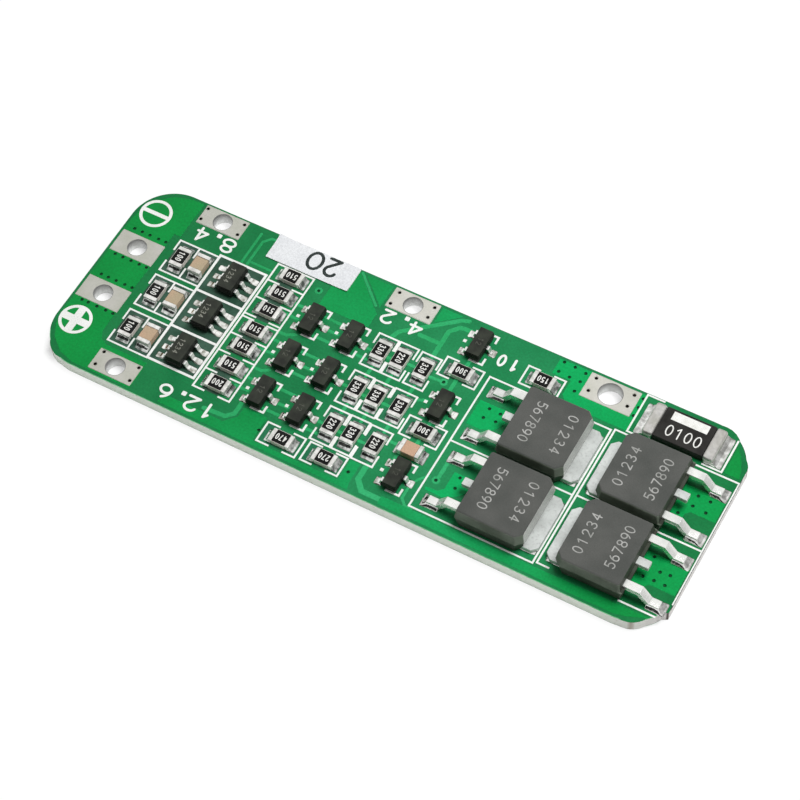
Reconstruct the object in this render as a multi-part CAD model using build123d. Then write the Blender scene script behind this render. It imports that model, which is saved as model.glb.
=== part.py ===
from build123d import *
import math
import os

# A battery management board: a green circuit board that guards a pack of three cells.
# The frame has +X along the board, +Y across it and +Z out of the component side.
# The origin is the middle of the underside. Every size is in millimetres.

# The bare board
BOARD_LENGTH = 59.0
BOARD_WIDTH = 20.0
BOARD_THICKNESS = 1.2
CORNER_RADIUS = 4.0
SNAP_STUB_RADIUS = 0.5
SNAP_STUB_REACH = 0.25

# Corner as signs of X and Y, and the angle on its arc, where the board was snapped from its panel
SNAP_STUBS = ((1, -1, -25), (1, 1, 24), (-1, -1, 220))

# Solder and print
PAD_HEIGHT = 0.05
PRINT_HEIGHT = 0.03
PRINT_LINE = 0.17
HEAVY_LINE = 0.24

# Wire terminals: middle X and Y, length, width, radius of the wire hole
PLATING = 0.18
TERMINALS = {
    "terminal_minus": (-27.07, 2.98, 4.35, 2.45, 0.85),
    "terminal_plus": (-27.07, -2.48, 4.35, 2.45, 0.85),
    "terminal_cell_high": (-21.8, 8.8, 4.4, 2.1, 0.85),
    "terminal_pack_plus": (-21.95, -8.42, 4.3, 2.25, 0.85),
    "terminal_cell_low": (-2.55, 8.72, 4.4, 2.2, 0.85),
    "terminal_pack_zero": (16.4, 8.45, 4.7, 2.6, 1.05),
}

# Power transistors: middle X and Y, and the turn that puts the tab where it belongs
MOSFETS = ((13.8, 1.78, 0), (13.86, -5.3, 0), (22.78, 1.68, 180), (22.76, -5.3, 180))
MOSFET_LENGTH = 6.1
MOSFET_WIDTH = 6.6
MOSFET_HEIGHT = 2.3
MOSFET_WAIST = 1.3
MOSFET_DRAFT = 9
MOSFET_CORNER = 0.55
TAB_WIDTH = 5.4
TAB_REACH = 4.1
TAB_INNER = -0.9
TAB_THICKNESS = 0.5
TAB_CORNER = 0.5
STUB_REACH = 3.9
LEAD_WIDTH = 0.74
LEAD_PITCH = 4.57
LEAD_ROOT = 2.3
LEAD_RUN = 4.05
LEAD_FOOT = 4.85
LEAD_REACH = 5.95
LEAD_TOP = 1.55
POWER_PAD_WIDTH = 1.3
POWER_PAD_INNER = 4.8
POWER_PAD_OUTER = 6.5
DRAIN_PAD_OUTER = 4.0
DRAIN_PAD_WIDTH = 5.8

# Current-sense resistor
SHUNT_X = 23.58
SHUNT_Y = 7.6
SHUNT_LENGTH = 6.45
SHUNT_WIDTH = 3.2
SHUNT_HEIGHT = 0.85
SHUNT_CAP = 1.0
SHUNT_BODY_INSET = 0.06
SHUNT_PAD_INNER = 2.3
SHUNT_PAD_OUTER = 3.95

# Moulded chips with bent leads
SMALL_BODY_LENGTH = 2.9
SMALL_LEAD_THICKNESS = 0.14
SMALL_LEAD_RUN = 0.14
SMALL_LEAD_SLOPE = 0.14
SMALL_LEAD_PITCH = 0.95
SMALL_DRAFT = 8
PROTECTORS = ((-17.55, 3.58), (-17.55, -0.55), (-17.55, -4.68))
PROTECTOR_WIDTH = 1.6
PROTECTOR_HEIGHT = 1.1
PROTECTOR_REACH = 1.42
PROTECTOR_LEAD_WIDTH = 0.4
PROTECTOR_PAD = (1.15, 1.98, 0.6)
TRANSISTORS = ((-9.3, 3.17), (-5.48, 3.15), (-9.3, -1.0), (-5.48, -1.0), (-9.35, -5.12),
               (-5.5, -5.12), (4.6, 7.5), (4.6, 0.62), (4.6, -6.83))
TRANSISTOR_WIDTH = 1.35
TRANSISTOR_HEIGHT = 1.0
TRANSISTOR_REACH = 1.22
TRANSISTOR_LEAD_WIDTH = 0.42
TRANSISTOR_PAD = (0.82, 1.55, 0.78)
BODY_CLEARANCE = 0.08

# Chip resistors and capacitors, 2.0 x 1.25, lying along X, or along Y where they are upright
CHIP_LENGTH = 2.0
CHIP_WIDTH = 1.25
CHIP_CAP = 0.37
RESISTOR_HEIGHT = 0.5
CAPACITOR_HEIGHT = 0.8
CHIP_PAD_INNER = 0.6
CHIP_PAD_OUTER = 1.45
CHIP_PAD_WIDTH = 1.3
FILLET_HEIGHT = 0.3
CELL_ROWS = (3.62, -0.42, -4.6)
CELL_RESISTOR_X = -22.92
CELL_CAPACITOR_X = -20.93
LADDER_X = -13.16
LADDER_ROWS = (6.3, 4.32, 2.37, 0.12, -1.85, -3.92, -6.0)
GRID_COLUMNS = (-2.6, -0.72, 1.5)
GRID_ROWS = (3.22, -1.0, -5.1)
SINGLE_RESISTORS = ((4.48, 4.45), (4.48, -2.13), (-5.6, -8.2), (-1.52, -8.15), (10.93, 6.83))
SINGLE_CAPACITOR = (4.45, -4.25)

# Printed frames: left, right, bottom and top line of each
CELL_FRAMES = ((-24.07, -20.1, 1.9, 5.42), (-24.07, -20.1, -2.15, 1.33), (-24.07, -20.1, -6.38, -2.78))
CELL_FRAME_MIDDLE = -22.07
CELL_FRAME_GAP = 1.2
PROTECTOR_FRAME = (-20.08, -15.42, -6.32, 5.65)
PROTECTOR_DIVIDERS = (1.6, -2.56)
LADDER_FRAME = (-15.1, -11.5, -6.95, 7.2)
LADDER_DIVIDERS = (5.34, 3.35, 1.45, 1.1, -0.83, -2.8, -4.92)
LADDER_DIVIDER_LENGTH = 1.1
LADDER_GAP = 1.3
GRID_FRAMES = (
    (-3.7, -1.8, 1.48, 4.95), (-1.63, 0.12, 1.48, 4.98), (0.47, 2.34, 1.48, 4.95),
    (-3.7, -1.82, -2.73, 0.72), (-1.65, 0.1, -2.73, 0.66), (0.27, 2.3, -2.66, 0.74),
    (-3.72, -1.85, -6.86, -3.33), (-1.68, 0.08, -6.86, -3.3), (0.25, 2.26, -6.92, -3.35),
)
SINGLE_FRAMES = ((2.6, 6.1, 3.6, 5.52), (2.6, 6.08, -3.02, -1.05), (-7.55, -3.9, -9.1, -7.1),
                 (-3.42, 0.12, -9.0, -7.12), (9.1, 12.56, 5.95, 7.86))
GRID_GAP = 1.2
SINGLE_GAP = 1.25
LEFT_POWER_FRAME = (6.7, 17.98, -8.67, 5.36)
LEFT_POWER_DIVIDER = -1.64
RIGHT_POWER_FRAME = (18.28, 29.4, -8.48, 5.55)
RIGHT_POWER_DIVIDER = -1.5
POWER_CORNER_CUT = (28.7, -6.9)
SHUNT_FRAME = (19.19, 27.7, 5.87, 9.85)
SHUNT_TOP_END = 20.7
SHUNT_BOTTOM_GAP = (19.7, 26.0)
SHUNT_RIGHT_END = 9.15
SYMBOL_RADIUS = 1.5
SYMBOL_LINE = 0.3
MINUS_SYMBOL = (-27.6, 6.9)
MINUS_BAR = 0.4
PLUS_SYMBOL = (-27.7, -5.9)
PLUS_ARM = 0.72
BRACKET_X = 0.93
BRACKET_TOP = 1.66
BRACKET_BOTTOM = -1.42
BRACKET_LINE = 0.2
BRACKET_DROP = 0.6
BRACKET_TOP_START = 0.45
BRACKET_BOTTOM_START = -0.25
DOT_X = -1.5
DOT_Y = 0.1
DOT_SIZE = 0.3

# Paper label: left, right, bottom and top edge
LABEL = (-16.5, -8.32, 7.33, 9.95)
LABEL_THICKNESS = 0.1


def slab(x_low, x_high, y_low, y_high, z_low, z_high):
    """A plain block between two corners."""
    size = (x_high - x_low, y_high - y_low, z_high - z_low)
    middle = ((x_low + x_high) / 2, (y_low + y_high) / 2, z_low)
    return Pos(*middle) * Box(*size, align=(Align.CENTER, Align.CENTER, Align.MIN))


def group(shapes):
    """Separate solids that share one node."""
    return Compound([solid for shape in shapes for solid in shape.solids()])


def on_board(x, y, turn=0):
    """A place on the solder pads, where a component stands."""
    return Pos(x, y, BOARD_THICKNESS + PAD_HEIGHT) * Rot(0, 0, turn)


def snap_stub(sign_x, sign_y, angle):
    """A small round leftover on a corner's arc."""
    reach = CORNER_RADIUS + SNAP_STUB_REACH - SNAP_STUB_RADIUS
    x = sign_x * (BOARD_LENGTH / 2 - CORNER_RADIUS) + reach * math.cos(math.radians(angle))
    y = sign_y * (BOARD_WIDTH / 2 - CORNER_RADIUS) + reach * math.sin(math.radians(angle))
    return Pos(x, y) * Circle(SNAP_STUB_RADIUS)


def circuit_board():
    """The laminate, with its holes, and a shallow seat for each terminal's lower pad."""
    outline = RectangleRounded(BOARD_LENGTH, BOARD_WIDTH, CORNER_RADIUS)
    outline += [snap_stub(*stub) for stub in SNAP_STUBS]
    outline -= [Pos(x, y) * Circle(radius + PLATING) for x, y, length, width, radius in TERMINALS.values()]
    board = extrude(outline, BOARD_THICKNESS)
    for x, y, length, width, radius in TERMINALS.values():
        board -= slab(x - length / 2, x + length / 2, y - width / 2, y + width / 2, 0, PAD_HEIGHT)
    return board


def terminal(x, y, length, width, radius):
    """A tinned pad on each side of the board, joined by the plated wire hole."""
    pad = extrude(Rectangle(length, width) - Circle(radius), PAD_HEIGHT)
    barrel = extrude(Circle(radius + PLATING) - Circle(radius), BOARD_THICKNESS)
    return Pos(x, y) * (pad + barrel + Pos(0, 0, BOARD_THICKNESS) * pad)


def bent_lead(root, run, foot, reach, top, thickness, width):
    """A strip that leaves a body level, slopes down and ends in a flat foot, along +X."""
    lean = thickness * math.tan(math.atan2(top - thickness, foot - run) / 2)
    points = ((root, top - thickness), (run, top - thickness), (foot, 0), (reach, 0),
              (reach, thickness), (foot + lean, thickness), (run + lean, top), (root, top))
    profile = make_face(Polyline(*points, close=True))
    return extrude(Plane.XZ * profile, width / 2, both=True)


def mosfet_tab():
    """The metal plate under the body, its bare end, and the cut-off middle lead."""
    plate = slab(TAB_INNER, TAB_REACH, -TAB_WIDTH / 2, TAB_WIDTH / 2, 0, TAB_THICKNESS)
    plate = chamfer(plate.edges().filter_by(Axis.Z).sort_by(Axis.X)[-2:], TAB_CORNER)
    half = LEAD_WIDTH / 2
    riser = slab(TAB_INNER, TAB_INNER + TAB_THICKNESS, -half, half, 0, LEAD_TOP)
    stub = slab(-STUB_REACH, TAB_INNER, -half, half, LEAD_TOP - TAB_THICKNESS, LEAD_TOP)
    return plate + riser + stub


def mosfet_leads():
    """The two outer leads, on the side away from the tab."""
    lead = bent_lead(LEAD_ROOT, LEAD_RUN, LEAD_FOOT, LEAD_REACH, LEAD_TOP, TAB_THICKNESS, LEAD_WIDTH)
    return [Rot(0, 0, 180) * Pos(0, side * LEAD_PITCH / 2) * lead for side in (-1, 1)]


def mosfet_body():
    """The moulded body, leaning in above and below its waist, hollow only where its metal goes in."""
    outline = Rectangle(MOSFET_LENGTH, MOSFET_WIDTH)
    outline = Pos(0, 0, MOSFET_WAIST) * chamfer(outline.vertices().sort_by(Axis.X)[-2:], MOSFET_CORNER)
    body = extrude(outline, MOSFET_HEIGHT - MOSFET_WAIST, taper=MOSFET_DRAFT)
    body += extrude(outline, MOSFET_WAIST, dir=(0, 0, -1), taper=MOSFET_DRAFT)
    return body - mosfet_tab() - mosfet_leads()


def mosfet_solder():
    """The flat solder under the tab and under each outer lead."""
    half = POWER_PAD_WIDTH / 2
    drain = slab(TAB_INNER, DRAIN_PAD_OUTER, -DRAIN_PAD_WIDTH / 2, DRAIN_PAD_WIDTH / 2, -PAD_HEIGHT, 0)
    middles = (-LEAD_PITCH / 2, LEAD_PITCH / 2)
    leads = [slab(-POWER_PAD_OUTER, -POWER_PAD_INNER, y - half, y + half, -PAD_HEIGHT, 0) for y in middles]
    return [drain] + leads


def shunt_caps():
    """The metal ends of the current-sense resistor."""
    half = SHUNT_LENGTH / 2
    cap = slab(half - SHUNT_CAP, half, -SHUNT_WIDTH / 2, SHUNT_WIDTH / 2, 0, SHUNT_HEIGHT)
    return [cap, Rot(0, 0, 180) * cap]


def shunt_body():
    """The dark body between the caps, a little lower and narrower than they are."""
    half = SHUNT_LENGTH / 2 - SHUNT_CAP
    side = SHUNT_WIDTH / 2 - SHUNT_BODY_INSET
    return slab(-half, half, -side, side, BODY_CLEARANCE, SHUNT_HEIGHT - SHUNT_BODY_INSET)


def shunt_solder():
    """The two solder pads of the current-sense resistor."""
    half = SHUNT_WIDTH / 2
    pad = slab(SHUNT_PAD_INNER, SHUNT_PAD_OUTER, -half, half, -PAD_HEIGHT, 0)
    return [pad, Rot(0, 0, 180) * pad]


def small_package(width, height, reach, lead_width, sites):
    """A small moulded body, and its bent leads, one for each side and offset in sites."""
    outline = Rectangle(width, SMALL_BODY_LENGTH)
    top = (height + BODY_CLEARANCE + SMALL_LEAD_THICKNESS) / 2
    bottom = top - SMALL_LEAD_THICKNESS
    body = extrude(Pos(0, 0, top) * outline, height - top, taper=SMALL_DRAFT)
    body += extrude(Pos(0, 0, bottom) * outline, SMALL_LEAD_THICKNESS)
    body += extrude(Pos(0, 0, bottom) * outline, bottom - BODY_CLEARANCE, dir=(0, 0, -1), taper=SMALL_DRAFT)
    run = width / 2 + SMALL_LEAD_RUN
    foot = run + SMALL_LEAD_SLOPE
    lead = bent_lead(width / 2, run, foot, reach, top, SMALL_LEAD_THICKNESS, lead_width)
    return body, [Rot(0, 0, 0 if side > 0 else 180) * Pos(0, side * offset) * lead for side, offset in sites]


def lead_solder(pad, sites):
    """The flat solder under each small lead."""
    inner, outer, width = pad
    blank = slab(inner, outer, -width / 2, width / 2, -PAD_HEIGHT, 0)
    return [Rot(0, 0, 0 if side > 0 else 180) * Pos(0, side * offset) * blank for side, offset in sites]


def chip_body(height):
    """The ceramic between a chip's two end caps."""
    half = CHIP_LENGTH / 2 - CHIP_CAP
    return slab(-half, half, -CHIP_WIDTH / 2, CHIP_WIDTH / 2, 0, height)


def chip_caps(height):
    """The metal ends of a chip."""
    half = CHIP_LENGTH / 2
    cap = slab(half - CHIP_CAP, half, -CHIP_WIDTH / 2, CHIP_WIDTH / 2, 0, height)
    return [cap, Rot(0, 0, 180) * cap]


def chip_solder():
    """The solder under each end of a chip, which thins out from the end to the edge of its pad."""
    end = CHIP_LENGTH / 2
    points = ((CHIP_PAD_INNER, -PAD_HEIGHT), (CHIP_PAD_OUTER, -PAD_HEIGHT), (end, FILLET_HEIGHT),
              (end, 0), (CHIP_PAD_INNER, 0))
    joint = extrude(Plane.XZ * make_face(Polyline(*points, close=True)), CHIP_PAD_WIDTH / 2, both=True)
    return [joint, Rot(0, 0, 180) * joint]


def bar(x_low, x_high, y_low, y_high):
    """A printed rectangle, flat on the board's frame of reference."""
    return Pos((x_low + x_high) / 2, (y_low + y_high) / 2) * Rectangle(x_high - x_low, y_high - y_low)


def level_line(x_low, x_high, y, line=PRINT_LINE):
    """A printed line along X, square at its ends."""
    return bar(x_low - line / 2, x_high + line / 2, y - line / 2, y + line / 2)


def upright_line(x, y_low, y_high, line=PRINT_LINE):
    """A printed line along Y, square at its ends."""
    return bar(x - line / 2, x + line / 2, y_low - line / 2, y_high + line / 2)


def frame(left, right, bottom, top, line=PRINT_LINE):
    """A closed printed rectangle."""
    outer = bar(left - line / 2, right + line / 2, bottom - line / 2, top + line / 2)
    return outer - bar(left + line / 2, right - line / 2, bottom + line / 2, top - line / 2)


def open_frame(left, right, bottom, top, gap_x=0.0, gap_y=0.0):
    """A printed rectangle whose long sides are broken in the middle."""
    middle_x = (left + right) / 2
    middle_y = (bottom + top) / 2
    shape = frame(left, right, bottom, top)
    if gap_x:
        shape -= bar(middle_x - gap_x / 2, middle_x + gap_x / 2, bottom - 1, top + 1)
    if gap_y:
        shape -= bar(left - 1, right + 1, middle_y - gap_y / 2, middle_y + gap_y / 2)
    return shape


def cell_print():
    """The frames round each cell's resistor and capacitor."""
    shapes = []
    for left, right, bottom, top in CELL_FRAMES:
        middle = (bottom + top) / 2
        half = CELL_FRAME_GAP / 2
        shape = frame(left, right, bottom, top) + upright_line(CELL_FRAME_MIDDLE, bottom, top)
        shape -= bar(left - 1, CELL_FRAME_MIDDLE + 1, middle - half, middle + half)
        shapes.append(shape)
    return shapes


def protector_print():
    """The heavy frame round the three protection chips."""
    left, right, bottom, top = PROTECTOR_FRAME
    lines = [level_line(left, right, y, HEAVY_LINE) for y in PROTECTOR_DIVIDERS]
    return [frame(left, right, bottom, top, HEAVY_LINE)] + lines


def ladder_print():
    """The tall frame round the ladder of resistors, with its broken rungs."""
    left, right, bottom, top = LADDER_FRAME
    shape = frame(left, right, bottom, top)
    middle = (left + right) / 2
    shape -= bar(middle - LADDER_GAP / 2, middle + LADDER_GAP / 2, bottom - 1, bottom + 1)
    rungs = []
    for y in LADDER_DIVIDERS:
        rungs.append(level_line(left, left + LADDER_DIVIDER_LENGTH, y))
        rungs.append(level_line(right - LADDER_DIVIDER_LENGTH, right, y))
    return [shape] + rungs


def power_print():
    """The two large frames round the power transistors, each with its cross line."""
    shapes = []
    for edges, divider in ((LEFT_POWER_FRAME, LEFT_POWER_DIVIDER), (RIGHT_POWER_FRAME, RIGHT_POWER_DIVIDER)):
        shapes += [frame(*edges), level_line(edges[0], edges[1], divider)]
    corner = bar(POWER_CORNER_CUT[0], BOARD_LENGTH / 2, -BOARD_WIDTH / 2, POWER_CORNER_CUT[1])
    return [shape - corner for shape in shapes]


def shunt_print():
    """The frame round the current-sense resistor, open along the back and the corner."""
    left, right, bottom, top = SHUNT_FRAME
    return [upright_line(left, bottom, top), level_line(left, SHUNT_TOP_END, top),
            level_line(left, SHUNT_BOTTOM_GAP[0], bottom), level_line(SHUNT_BOTTOM_GAP[1], right, bottom),
            upright_line(right, bottom, SHUNT_RIGHT_END)]


def transistor_print(x, y):
    """Two corner brackets and a dot beside a small transistor."""
    marks = [
        upright_line(BRACKET_X, BRACKET_TOP - BRACKET_DROP, BRACKET_TOP, BRACKET_LINE),
        level_line(BRACKET_TOP_START, BRACKET_X, BRACKET_TOP, BRACKET_LINE),
        upright_line(BRACKET_X, BRACKET_BOTTOM, BRACKET_BOTTOM + BRACKET_DROP, BRACKET_LINE),
        level_line(BRACKET_BOTTOM_START, BRACKET_X, BRACKET_BOTTOM, BRACKET_LINE),
        Pos(DOT_X, DOT_Y) * Rectangle(DOT_SIZE, DOT_SIZE),
    ]
    return [Pos(x, y) * mark for mark in marks]


def symbol_print():
    """A ring with a bar for minus, and a ring with a cross for plus."""
    ring = Circle(SYMBOL_RADIUS) - Circle(SYMBOL_RADIUS - SYMBOL_LINE)
    reach = SYMBOL_RADIUS - SYMBOL_LINE / 2
    minus = ring + bar(-reach, reach, -MINUS_BAR / 2, MINUS_BAR / 2)
    arm = PLUS_ARM / 2
    plus = ring + bar(-reach, reach, -arm, arm) + bar(-arm, arm, -reach, reach)
    return [Pos(*MINUS_SYMBOL) * minus, Pos(*PLUS_SYMBOL) * plus]


def printed_marks():
    """Everything printed in white on the board that isn't a letter or a figure."""
    flat = cell_print() + protector_print() + ladder_print() + power_print() + shunt_print()
    flat += [open_frame(*edges, gap_y=GRID_GAP) for edges in GRID_FRAMES]
    flat += [open_frame(*edges, gap_x=SINGLE_GAP) for edges in SINGLE_FRAMES]
    for x, y in TRANSISTORS:
        flat += transistor_print(x, y)
    flat += symbol_print()
    whole = Sketch() + flat
    return Pos(0, 0, BOARD_THICKNESS) * extrude(whole, PRINT_HEIGHT)


def paper_label():
    """The paper label at the back edge."""
    left, right, bottom, top = LABEL
    return slab(left, right, bottom, top, BOARD_THICKNESS, BOARD_THICKNESS + LABEL_THICKNESS)


def power_nodes():
    """The four power transistors and the current-sense resistor, with the solder under them."""
    nodes = {}
    solder = []
    for k, (x, y, turn) in enumerate(MOSFETS, start=1):
        place = on_board(x, y, turn)
        nodes[f"mosfet_{k}_body"] = place * mosfet_body()
        nodes[f"mosfet_{k}_tab"] = place * mosfet_tab()
        nodes[f"mosfet_{k}_leads"] = group([place * lead for lead in mosfet_leads()])
        solder += [place * pad for pad in mosfet_solder()]
    place = on_board(SHUNT_X, SHUNT_Y)
    nodes["shunt_body"] = place * shunt_body()
    nodes["shunt_end_caps"] = group([place * cap for cap in shunt_caps()])
    solder += [place * pad for pad in shunt_solder()]
    nodes["power_solder"] = group(solder)
    return nodes


def package_nodes():
    """The protection chips and the small transistors, with the solder under their leads."""
    nodes = {}
    solder = []
    pitch = SMALL_LEAD_PITCH
    six = [(side, offset) for side in (-1, 1) for offset in (-pitch, 0, pitch)]
    three = [(-1, -pitch), (-1, pitch), (1, 0)]
    kinds = (
        ("protector", PROTECTORS, six, PROTECTOR_PAD,
         small_package(PROTECTOR_WIDTH, PROTECTOR_HEIGHT, PROTECTOR_REACH, PROTECTOR_LEAD_WIDTH, six)),
        ("transistor", TRANSISTORS, three, TRANSISTOR_PAD,
         small_package(TRANSISTOR_WIDTH, TRANSISTOR_HEIGHT, TRANSISTOR_REACH, TRANSISTOR_LEAD_WIDTH, three)),
    )
    for kind, places, sites, pad, (body, leads) in kinds:
        for k, (x, y) in enumerate(places, start=1):
            place = on_board(x, y)
            nodes[f"{kind}_{k}_body"] = place * body
            nodes[f"{kind}_{k}_leads"] = group([place * lead for lead in leads])
            solder += [place * blank for blank in lead_solder(pad, sites)]
    nodes["lead_solder"] = group(solder)
    return nodes


def chip_nodes():
    """Every chip resistor and capacitor, by family, with its solder."""
    families = {
        "cell_resistor": [on_board(CELL_RESISTOR_X, y, 90) for y in CELL_ROWS],
        "ladder_resistor": [on_board(LADDER_X, y) for y in LADDER_ROWS],
        "grid_resistor": [on_board(x, y, 90) for y in GRID_ROWS for x in GRID_COLUMNS],
        "single_resistor": [on_board(x, y) for x, y in SINGLE_RESISTORS],
        "capacitor": [on_board(CELL_CAPACITOR_X, y, 90) for y in CELL_ROWS] + [on_board(*SINGLE_CAPACITOR)],
    }
    nodes = {}
    solder = []
    for family, places in families.items():
        height = CAPACITOR_HEIGHT if family == "capacitor" else RESISTOR_HEIGHT
        nodes[f"{family}_bodies"] = group([place * chip_body(height) for place in places])
        nodes[f"{family}_end_caps"] = group([place * cap for place in places for cap in chip_caps(height)])
        solder += [place * joint for place in places for joint in chip_solder()]
    nodes["chip_solder"] = group(solder)
    return nodes


def main():
    os.makedirs("parts", exist_ok=True)
    nodes = {"circuit_board": circuit_board(), "printed_marks": printed_marks(), "paper_label": paper_label()}
    for name, sizes in TERMINALS.items():
        nodes[name] = terminal(*sizes)
    nodes.update(power_nodes())
    nodes.update(package_nodes())
    nodes.update(chip_nodes())
    for name, shape in nodes.items():
        export_step(shape, f"parts/{name}.step")
    print(len(nodes), "nodes")


main()
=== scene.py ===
import math
import random

import bmesh
import bpy
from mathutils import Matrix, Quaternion, Vector, geometry, noise

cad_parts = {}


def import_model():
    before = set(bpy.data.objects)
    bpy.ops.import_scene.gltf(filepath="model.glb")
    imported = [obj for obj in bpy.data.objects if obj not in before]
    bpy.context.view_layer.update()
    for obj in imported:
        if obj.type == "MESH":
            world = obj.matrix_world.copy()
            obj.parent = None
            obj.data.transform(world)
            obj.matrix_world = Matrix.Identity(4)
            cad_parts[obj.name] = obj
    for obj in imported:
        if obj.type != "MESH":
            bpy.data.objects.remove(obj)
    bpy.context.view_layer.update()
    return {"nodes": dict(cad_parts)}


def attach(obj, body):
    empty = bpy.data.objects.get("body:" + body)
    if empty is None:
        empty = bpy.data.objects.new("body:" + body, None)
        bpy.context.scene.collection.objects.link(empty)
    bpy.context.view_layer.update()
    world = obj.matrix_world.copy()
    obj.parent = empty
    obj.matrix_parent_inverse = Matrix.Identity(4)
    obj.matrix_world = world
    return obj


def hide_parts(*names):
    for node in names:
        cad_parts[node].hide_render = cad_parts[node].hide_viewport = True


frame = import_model()

# Every size below is in millimetres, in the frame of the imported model, unless its name says otherwise.
MM = 0.001
SEED = 31

# Camera
CAMERA_TARGET = Vector((1.12, -0.14, 1.2))
CAMERA_DISTANCE = 191.9
CAMERA_AZIMUTH = math.radians(33.385)
CAMERA_ELEVATION = math.radians(57.532)
CAMERA_ROLL = math.radians(-4.932)
CAMERA_LENS = 103.43
CAMERA_SENSOR = 36.0

# Board
BOARD_LENGTH = 59.0
BOARD_WIDTH = 20.0
BOARD_TOP = 1.2
BOARD_UNDER = 0.03
CORNER_RADIUS = 4.0
MASK_THICKNESS = 0.035
MASK_PULLBACK = 0.05
# How deep the painted shade of the mask's rim runs down the cut wall
SHADED_RIM_DEPTH = 0.24
# Where the pale painted highlight on the mask's front rim ends, in Y
HIGHLIGHT_RIM_END = -7.7
# The board's finishes after the mask's: the highlight rim is a painted highlight and the shaded rim is
# painted shade
BARE, HOLE_WALL, HIGHLIGHT_RIM, SHADED_RIM = 1, 2, 3, 4
EDGE_STEP = 0.45
EDGE_CLEARANCE = 0.002
CORNER_STEP = 2
EDGE_WOBBLE = 0.014
WOBBLE_PACE = 1.3
STUB_HALF_ANGLE = 15.0
STUB_RISE = 0.16
STUB_WOBBLE = 0.03

# Corner as signs of X and Y, and the middle angle of its broken stub
STUBS = ((1, -1, -64), (1, 1, 14), (1, 1, 69), (-1, -1, 237))
# The corner that kept its square edge on one side: where it ends, and its break's reach, in degrees
SQUARE_CORNER = (1, -1)
SQUARE_END = -22.0
SQUARE_BREAK = 6.0
# Stains where the board was snapped out of its panel: X, Y, reach and shade
STAINS = ((27.35, -10.0, 0.42, (128, 104, 78)), (29.44, -7.7, 0.17, (74, 68, 60)),
          (29.55, 7.05, 0.3, (150, 142, 134)), (-27.9, -9.6, 0.35, (150, 132, 108)))

# Wire terminals: middle X and Y, length, width, radius of the wire hole
TERMINALS = {
    "terminal_minus": (-27.07, 2.98, 4.35, 2.45, 0.85),
    "terminal_plus": (-27.07, -2.48, 4.35, 2.45, 0.85),
    "terminal_cell_high": (-21.8, 8.8, 4.4, 2.1, 0.85),
    "terminal_pack_plus": (-21.95, -8.42, 4.3, 2.25, 0.85),
    "terminal_cell_low": (-2.55, 8.72, 4.4, 2.2, 0.85),
    "terminal_pack_zero": (16.4, 8.45, 4.7, 2.6, 1.05),
}
TIN_HEIGHT = 0.05
TIN_RIM = 0.06
TIN_CORNER = 0.08
HOLE_SIDES = 40
HOLE_LIP = 0.05
# The hole's rim: depth below the tin's face, and distance from the hole's wall as a share of the lip
LIP_CURVE = ((0.03, 1.5), (0.0, 1.0), (0.004, 0.4), (0.02, 0.08), (0.04, 0.0))
UNDER_LIP_CURVE = ((0.02, 1.5), *LIP_CURVE[1:])

# Plated via holes
VIA_RADIUS = 0.15
VIA_RING = 0.36
VIA_SIDES = 10
RING_SIDES = 20
PLUG_DEPTH = 0.09
PLUG_OVERLAP = 0.01
PAD_VIAS = (
    (-23.75, 9.5), (-23.75, 8.25), (-19.95, 9.45), (-19.95, 8.25),
    (-23.65, -7.57), (-23.65, -8.95), (-20.12, -7.57), (-20.12, -9.02),
    (-4.25, 9.4), (-4.4, 8.05), (-0.8, 9.4), (-0.85, 8.25),
    (14.65, 9.35), (14.6, 7.95), (18.2, 9.3), (18.15, 8.05),
)
VIA_ROWS = (
    (4.65, (-28.4, -27.6, -26.8, -25.9, -25.15)),
    (1.55, (-28.45, -27.65, -26.8, -25.95, -25.2)),
    (-0.85, (-28.35, -27.6, -26.8, -25.9, -25.15)),
    (-3.9, (-28.35, -27.7, -26.8, -25.9, -25.15)),
)
RINGED_VIAS = ((-10.55, 6.35), (3.5, 3.1), (0.75, -8.2), (7.5, -5.55))
LOOSE_VIAS = (
    (-7.85, -8.15), (11.55, 9.55), (12.6, 9.5), (13.65, 9.35), (11.55, 8.5), (12.6, 8.4), (13.6, 8.4),
    (13.6, 7.35), (19.02, 9.3), (19.02, 8.35), (19.0, 7.45), (8.15, 2.55), (9.2, 2.5), (8.1, 1.55),
    (9.2, 1.65), (9.15, -4.45), (9.25, -5.5), (27.0, 3.0), (28.1, 2.95), (27.0, 1.95), (28.2, 1.85),
    (26.2, 0.85), (26.3, -3.65), (26.3, -4.6), (27.3, -4.7), (28.15, -4.6), (26.25, -5.65),
    (27.2, -5.6), (28.15, -5.6),
)

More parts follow.
